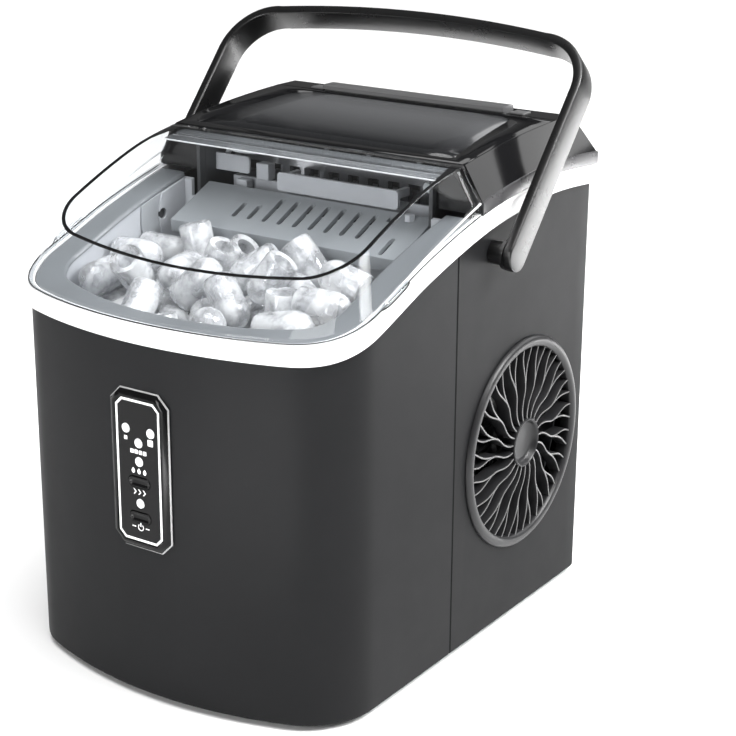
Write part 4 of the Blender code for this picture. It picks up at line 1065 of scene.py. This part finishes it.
def build_marks():
    """Plain marks by the lamps and keys: squares, blocks, drops, chevrons, a power symbol."""
    y = FACE_FRONT - 0.04

    def marks(bm):
        def flat(points):
            add_prism(bm, points, "Y", y - 0.05, y)

        def block(u, v, half_u, half_v, radius, seg=3):
            flat(rounded_rect(half_u, half_v, radius, seg, (u, v)))
        for node, half in (("size_small_led", 1.1), ("size_large_led", 1.8)):
            c = node_centre(node)
            block(c.x, c.z - 5.2, half, half, 0.35)
        c = node_centre("ice_full_led")
        for k in range(4):
            block(c.x - 4.35 + 2.9 * k, c.z - 4.9, 1.15, 1.15, 0.3, 2)
        c = node_centre("add_water_led")
        turn = [2 * pi * j / 24 for j in range(24)]
        for k in (-1, 0, 1):
            flat([(c.x + 3.9 * k + 1.15 * sin(a) * (1 - 0.55 * max(cos(a), 0)),
                   c.z - 5.2 + 1.6 * cos(a)) for a in turn])
        c = node_centre("select_button")
        for k in (-1, 0, 1):
            flat([(c.x + 3.2 * k + u, c.z - 5.6 + v) for u, v in (
                (-1.1, 1.5), (-0.3, 1.5), (1.1, 0), (-0.3, -1.5), (-1.1, -1.5), (0.3, 0))])
        c = node_centre("power_button")
        v = c.z - 5.8
        arc = [radians(128 + 284 * k / 28) for k in range(29)]
        flat([(c.x + 2.0 * cos(a), v + 2.0 * sin(a)) for a in arc]
             + [(c.x + 1.5 * cos(a), v + 1.5 * sin(a)) for a in reversed(arc)])
        block(c.x, v + 1.5, 0.27, 1.1, 0.2)
        for side in (-1, 1):
            block(c.x + 4.6 * side, v, 1.3, 0.3, 0.25)
    piece("panel_marks", marks, MARK, "cabinet", (), 0)


# ---- interior ----
BIN_REAR = 8.0
BIN_FLOOR = 36.0
GRID_TOP, GRID_LOW = (16.5, 251.0), (-20.0, 235.0)
SENSOR = (-15.0, 236.0)
BOSS = (15.0, 235.0)            # centre of the round bosses on the bin's left wall


def build_bin():
    liner = piece("ice_bin_liner_skin",
                  lambda bm: add_prism(bm, inset_outline(17.0, BIN_REAR), "Z", BIN_FLOOR, 270),
                  GREY, "cabinet", ["ice_bin_liner"])
    hollow = inset_outline(19.5, BIN_REAR - WALL)
    cut(liner, lambda bm: add_prism(bm, hollow, "Z", BIN_FLOOR + WALL, 280))

    def above(bm):
        ys = [-150 + 3 * k for k in range(55)]
        points = [(y, band_z(y) + 7.9) for y in ys] + [(ys[-1], 330), (ys[0], 330)]
        add_prism(bm, points, "X", -130, 130)
    cut(liner, above)

    def rear_cuts(bm):
        add_box(bm, (-84, 0, 243.5), (84, 20, 300))
        add_rod(bm, "Z", (60, -30, 0), 5.0, 30, 45)
        add_box(bm, (-60, 0, 190), (60, 20, 197))
    cut(liner, rear_cuts)

    def sensor_hole(bm):
        add_rod(bm, "X", (0, *SENSOR), 3.3, -100, -88)
    cut(liner, sensor_hole)
    for name, radius, depth, mat in (("bin_boss_outer", 48.0, 1.2, BOSS_GREY),
                                     ("bin_boss_inner", 33.0, 2.2, GREY)):
        start = acos((BIN_REAR - GAP - BOSS[0]) / radius)
        turn = [start + (2 * pi - 2 * start) * k / 48 for k in range(49)]
        arc = [(BOSS[0] + radius * cos(a), BOSS[1] + radius * sin(a)) for a in turn]
        disc = piece(name, lambda bm: add_prism(bm, arc, "X", -91.8, -91.5 + depth), mat,
                     "cabinet", (), 30)
        cut(disc, above)
        cut(disc, sensor_hole)
        soften(disc, 0.5)


def build_slide_grid():
    (y0, z0), (y1, z1) = GRID_TOP, GRID_LOW
    side = [(y0, z0), (y1, z1), (y1 - 0.2, z1 - 0.5), (y1 + 0.6, z1 - 7), (y1 + 2.4, z1 - 7),
            (y1 + 2.4, z1 - 1.6), (y0, z0 - 2.5)]
    grid = piece("slide_grid_skin", lambda bm: add_prism(bm, side, "X", -79.4, 79.4), PLATE,
                 "cabinet", ["slide_grid"])

    def slots(bm):
        for k in range(9):
            high = 12.0 if k > 1 else 4.0
            add_prism(bm, rounded_rect(1.6, (high + 9) / 2, 1.5, 5, (-42 + 10.8 * k, (high - 9) / 2)),
                      "Z", 225, 262)
        add_prism(bm, rounded_rect(1.6, 7, 1.5, 5, (66, -11)), "Z", 225, 262)
        add_box(bm, (53, 8, 225), (57, 12, 262))
    cut(grid, slots)
    z = z0 + (z1 - z0) * (12 - y0) / (y1 - y0)
    head = [(0, z + 3.4), (2.6, z + 3.4), (3.1, z + 2.9), (3.1, z - 0.5), (0, z - 0.5)]
    piece("grid_bolt", lambda bm: add_turned(bm, "Z", (66, 12, 0), head, 6), GREY, "cabinet",
          (), 20)


def build_shovel():
    board = piece("ice_shovel_skin",
                  lambda bm: add_prism(bm, rounded_rect(42, 5.4, 2.0, 6, (12, 257.2)), "Y", 18.0, 20.4),
                  GREY, "shovel", ["ice_shovel"])

    def arms(bm):
        for x in (-26, 50):
            add_box(bm, (x - 1.5, 19, 257.0), (x + 1.5, 34, 261.6))
    cut(board, arms, "UNION")


def build_back_panel():
    """Ribbed wall behind the evaporator, and the small fittings in front of it."""
    def ribs(bm):
        half, count = 79.5, 22
        step = 2 * half / count
        points = [(-half, 59.5), (half, 59.5)]
        for k in range(count):
            x = half - step * k
            points += [(x, 57.6), (x - step * 0.62, 57.6), (x - step * 0.7, 56.4),
                       (x - step + 0.4, 56.4)]
        add_prism(bm, points + [(-half, 57.6)], "Z", 259, 281)
    piece("bay_back_panel_skin", ribs, DARK, "cabinet", ["bay_back_panel"])

    def pegs(bm):
        for x in (-20, 10, 45):
            add_rod(bm, "Y", (x, 0, 272), 1.7, 53.5, 57.0, 20)
    piece("bay_pegs", pegs, GREY, "cabinet", (), 40)

    def clips(bm):
        add_box(bm, (-50, 24, 254.6), (-41, 31, 264.5))
        add_box(bm, (-62, 20, 246.0), (-54, 26, 254.0))
        add_prism(bm, rounded_rect(16, 5.2, 2.0, 5, (-71, 262.0)), "Y", 24.0, 26.0)
    soften(piece("bay_clips", clips, GREY, "cabinet", (), 30), 0.6)
    turn = [radians(a) for a in range(200, 541, 20)]
    route = [(-80, 33, 262), (-74, 30, 269)]
    route += [(-60 + 13 * cos(a), 30 + 7 * sin(a), 271) for a in turn]
    piece("bay_hose_loop", lambda bm: add_tube(bm, route, 1.7, 10, 3), HOSE, "cabinet")


# ---- ice ----
ICE_R, ICE_LONG, ICE_BORE = 10.0, 32.0, 4.8
ICE_COUNT = 144
HEAP_TOP = 245.0
BASKET_LIFT = 12.0             # how far the basket, and the ice with it, rises under the shut lid
SIM_FRAMES = 120
SIM_SCALE = 10.0               # the heap is settled ten times larger, where contacts are stable


def bullet_mesh():
    """One hollow bullet of ice, standing on its open end, centred on its middle."""
    bm = bmesh.new()
    half = ICE_LONG / 2
    nose = ICE_R * 1.1
    outer = [(ICE_R * 0.93, -half), (ICE_R, -half + 1.5), (ICE_R, half - nose)]
    outer += [(ICE_R * c, half - nose + nose * s) for c, s in quarter(7, 1)[:-1]]
    bore = [(0, half), (0, half - 9.0), (ICE_BORE * 0.7, half - 10.0), (ICE_BORE, half - 13.0),
            (ICE_BORE * 1.25, -half + 0.6)]
    add_turned(bm, "Z", (0, 0, 0), outer + bore, 20)
    bmesh.ops.recalc_face_normals(bm, faces=bm.faces)
    return mesh_from("ice_bullet", bm)


def heap_walls():
    """Open-topped mould that the loose ice settles in: the basket, then the bin above it."""
    bm = bmesh.new()
    for inset, rear, low, high in ((26.5, -27.0, 104.0, 206.0), (21.4, -21.4, 206.0, 440.0)):
        rows = []
        for p, q in zip(inset_outline(inset - 3, rear + 3), inset_outline(inset, rear)):
            rows.append([(*p, low), (*p, high), (*q, high), (*q, low)])
        add_strip(bm, rows, True)
    add_box(bm, (-110, -140, 98), (110, -10, 104))
    for v in bm.verts:
        v.co *= MM * SIM_SCALE
    return mesh_from("heap_walls", bm)


def add_body(ob, kind, shape):
    with bpy.context.temp_override(object=ob, active_object=ob, selected_objects=[ob]):
        bpy.ops.rigidbody.object_add(type=kind)
    ob.rigid_body.collision_shape = shape
    ob.rigid_body.use_margin = True
    ob.rigid_body.collision_margin = 0.001
    ob.rigid_body.friction = 0.25
    ob.rigid_body.restitution = 0.05


def settle_ice():
    """Drop loose bullets into the mould and return where each comes to rest."""
    rng = random.Random(41)
    scene = bpy.context.scene
    bpy.ops.rigidbody.world_add()
    world = scene.rigidbody_world
    world.substeps_per_frame = 8
    world.solver_iterations = 14
    world.point_cache.frame_end = SIM_FRAMES
    scene.frame_end = SIM_FRAMES
    walls = new_object("heap_walls", heap_walls())
    add_body(walls, "PASSIVE", "MESH")
    mesh = bullet_mesh()
    mesh.transform(Matrix.Scale(MM * SIM_SCALE, 4))
    loose = []
    columns = [(-64, -86), (-22, -104), (22, -104), (64, -86), (-58, -54), (-20, -62), (20, -62),
               (58, -54)]
    for n in range(ICE_COUNT):
        ob = new_object("loose_ice_%d" % n, mesh)
        x, y = columns[n % len(columns)]
        place = Vector((x + rng.uniform(-4, 4), y + rng.uniform(-3, 3),
                        125 + 36 * (n // len(columns))))
        ob.location = place * MM * SIM_SCALE
        ob.rotation_euler = [rng.uniform(0, 2 * pi) for _ in range(3)]
        add_body(ob, "ACTIVE", "CONVEX_HULL")
        ob.rigid_body.mass = 0.01
        ob.rigid_body.linear_damping = 0.15
        ob.rigid_body.angular_damping = 0.3
        loose.append(ob)
    for f in range(1, SIM_FRAMES + 1):
        scene.frame_set(f)
    graph = bpy.context.evaluated_depsgraph_get()
    places = []
    for ob in loose:
        m = ob.evaluated_get(graph).matrix_world.copy()
        middle = Matrix.Translation(m.translation / (MM * SIM_SCALE))
        places.append(middle @ m.to_quaternion().to_matrix().to_4x4())
    for ob in loose + [walls]:
        bpy.data.objects.remove(ob, do_unlink=True)
    bpy.ops.rigidbody.world_remove()
    scene.frame_set(1)
    return places


def under_lid(p):
    """Whether a point of the heap stays clear of the closed lid, even with the basket lifted."""
    front = -101.0
    roof = lid_z(p.y) if p.y > front else lid_z(front) + 0.62 * (p.y - front)
    return p.z < min(roof - LID_WALL - BASKET_LIFT - 1.5, HEAP_TOP)


def build_ice():
    """The heap of ice in the basket, each bullet worn a little differently."""
    source = bullet_mesh()
    rng = random.Random(7)

    def heap(bm):
        for place in settle_ice():
            wear = [rng.uniform(0.94, 1.0), rng.uniform(0.94, 1.0), rng.uniform(0.9, 1.0), 1.0]
            worn = place @ Matrix.Diagonal(wear)
            if not all(under_lid(worn @ v.co) for v in source.vertices):
                continue
            before = len(bm.verts)
            bm.from_mesh(source)
            bm.verts.ensure_lookup_table()
            bmesh.ops.transform(bm, matrix=worn, verts=bm.verts[before:])
    piece("ice_heap", heap, ICE, "basket", (), 50)


# ---- studio ----
def lamp(name, kind, power, place, target, **settings):
    """A lamp aimed from a place at a target, both in metres, and hidden from the camera."""
    data = bpy.data.lights.new(name, kind)
    data.energy = power
    for key, value in settings.items():
        setattr(data, key, value)
    ob = new_object(name, data)
    ob.location = place
    ob.rotation_euler = (Vector(target) - Vector(place)).to_track_quat("-Z", "Y").to_euler()
    ob.visible_camera = False


def build_studio():
    """White floor and backdrop, soft top light, and strong light from the right and rear."""
    floor_mat, tree, bsdf = new_material("studio_floor")
    wire(bsdf, {"Base Color": ramp(tree, noise(tree, 1.5, 2.0), (0.88,) * 3, (0.90,) * 3),
                "Roughness": 0.30, SPEC: 0.05})
    mesh = bpy.data.meshes.new("studio_floor")
    reach = 12.0
    mesh.from_pydata([(reach * u, reach * v, 0) for u, v in ((-1, -1), (1, -1), (1, 1), (-1, 1))],
                     [], [(0, 1, 2, 3)])
    mesh.materials.append(floor_mat)
    new_object("studio_floor", mesh)
    world = bpy.data.worlds.new("studio")
    world.use_nodes = True
    tree = world.node_tree
    white = (1, 1, 1, 1)
    room = wire(tree.nodes["Background"], {"Color": white, "Strength": 0.12})
    backdrop = new_node(tree, "Background", {"Color": white, "Strength": 1.0})
    path = new_node(tree, "LightPath", {})
    mix = new_node(tree, "MixShader", {0: path.outputs["Is Camera Ray"], 1: room.outputs[0],
                                       2: backdrop.outputs[0]})
    wire(tree.nodes["World Output"], {"Surface": mix.outputs[0]})
    bpy.context.scene.world = world
    lamp("top_soft", "SUN", 3.9, (0.18, -0.15, 0.97), (0, 0, 0), angle=radians(50))
    for name, place, width, height, power in (
            ("right_soft", (1.45, 0.45, 1.40), 0.9, 0.9, 62),
            ("rear_right", (0.65, 1.45, 1.07), 1.3, 0.8, 9),
            ("front_strip", (-0.10, -1.7, 0.55), 0.35, 1.1, 16)):
        lamp(name, "AREA", power, place, (0, 0, 0.16), shape="RECTANGLE", size=width,
             size_y=height)
    for name, place, target, cone, soft, power in (
            ("floor_right", (0.90, 1.10, 2.3), (0.76, 1.02, 0.0), 40, 0.25, 1600),
            ("floor_front", (0.12, -1.20, 1.6), (0.07, -0.52, 0.0), 14, 0.05, 1700)):
        lamp(name, "SPOT", power, place, target, spot_size=radians(cone), spot_blend=1.0,
             shadow_soft_size=soft)


def build_camera():
    """Camera at the product shot's angle: low three-quarter view from the right front."""
    yaw, pitch, roll = radians(-34.03), radians(18.69), 0.0069
    data = bpy.data.cameras.new("camera")
    data.lens = 90.56
    data.sensor_width = 36.0
    ob = new_object("camera", data)
    forward = Vector((sin(yaw) * cos(pitch), cos(yaw) * cos(pitch),
                      -sin(pitch)))
    right = forward.cross(Vector((0, 0, 1))).normalized()
    up = right.cross(forward)
    side = cos(roll) * right + sin(roll) * up
    top = -sin(roll) * right + cos(roll) * up
    ob.matrix_world = Matrix((
        (side.x, top.x, -forward.x, 0.6054), (side.y, top.y, -forward.y, -0.8271),
        (side.z, top.z, -forward.z, 0.4999), (0, 0, 0, 1)))
    bpy.context.scene.camera = ob


def main():
    for build in (build_camera, dress_kept_nodes, build_shells, build_band, build_bezel,
                  build_rear_housing, build_hinge_bar, build_lid_shell, build_lid_frame,
                  build_lid_lines, build_handle, build_grille, build_panel, build_marks,
                  build_bin, build_slide_grid, build_shovel, build_back_panel):
        build()
    build_ice()
    build_studio()
    bpy.context.scene.view_settings.view_transform = "Standard"


main()
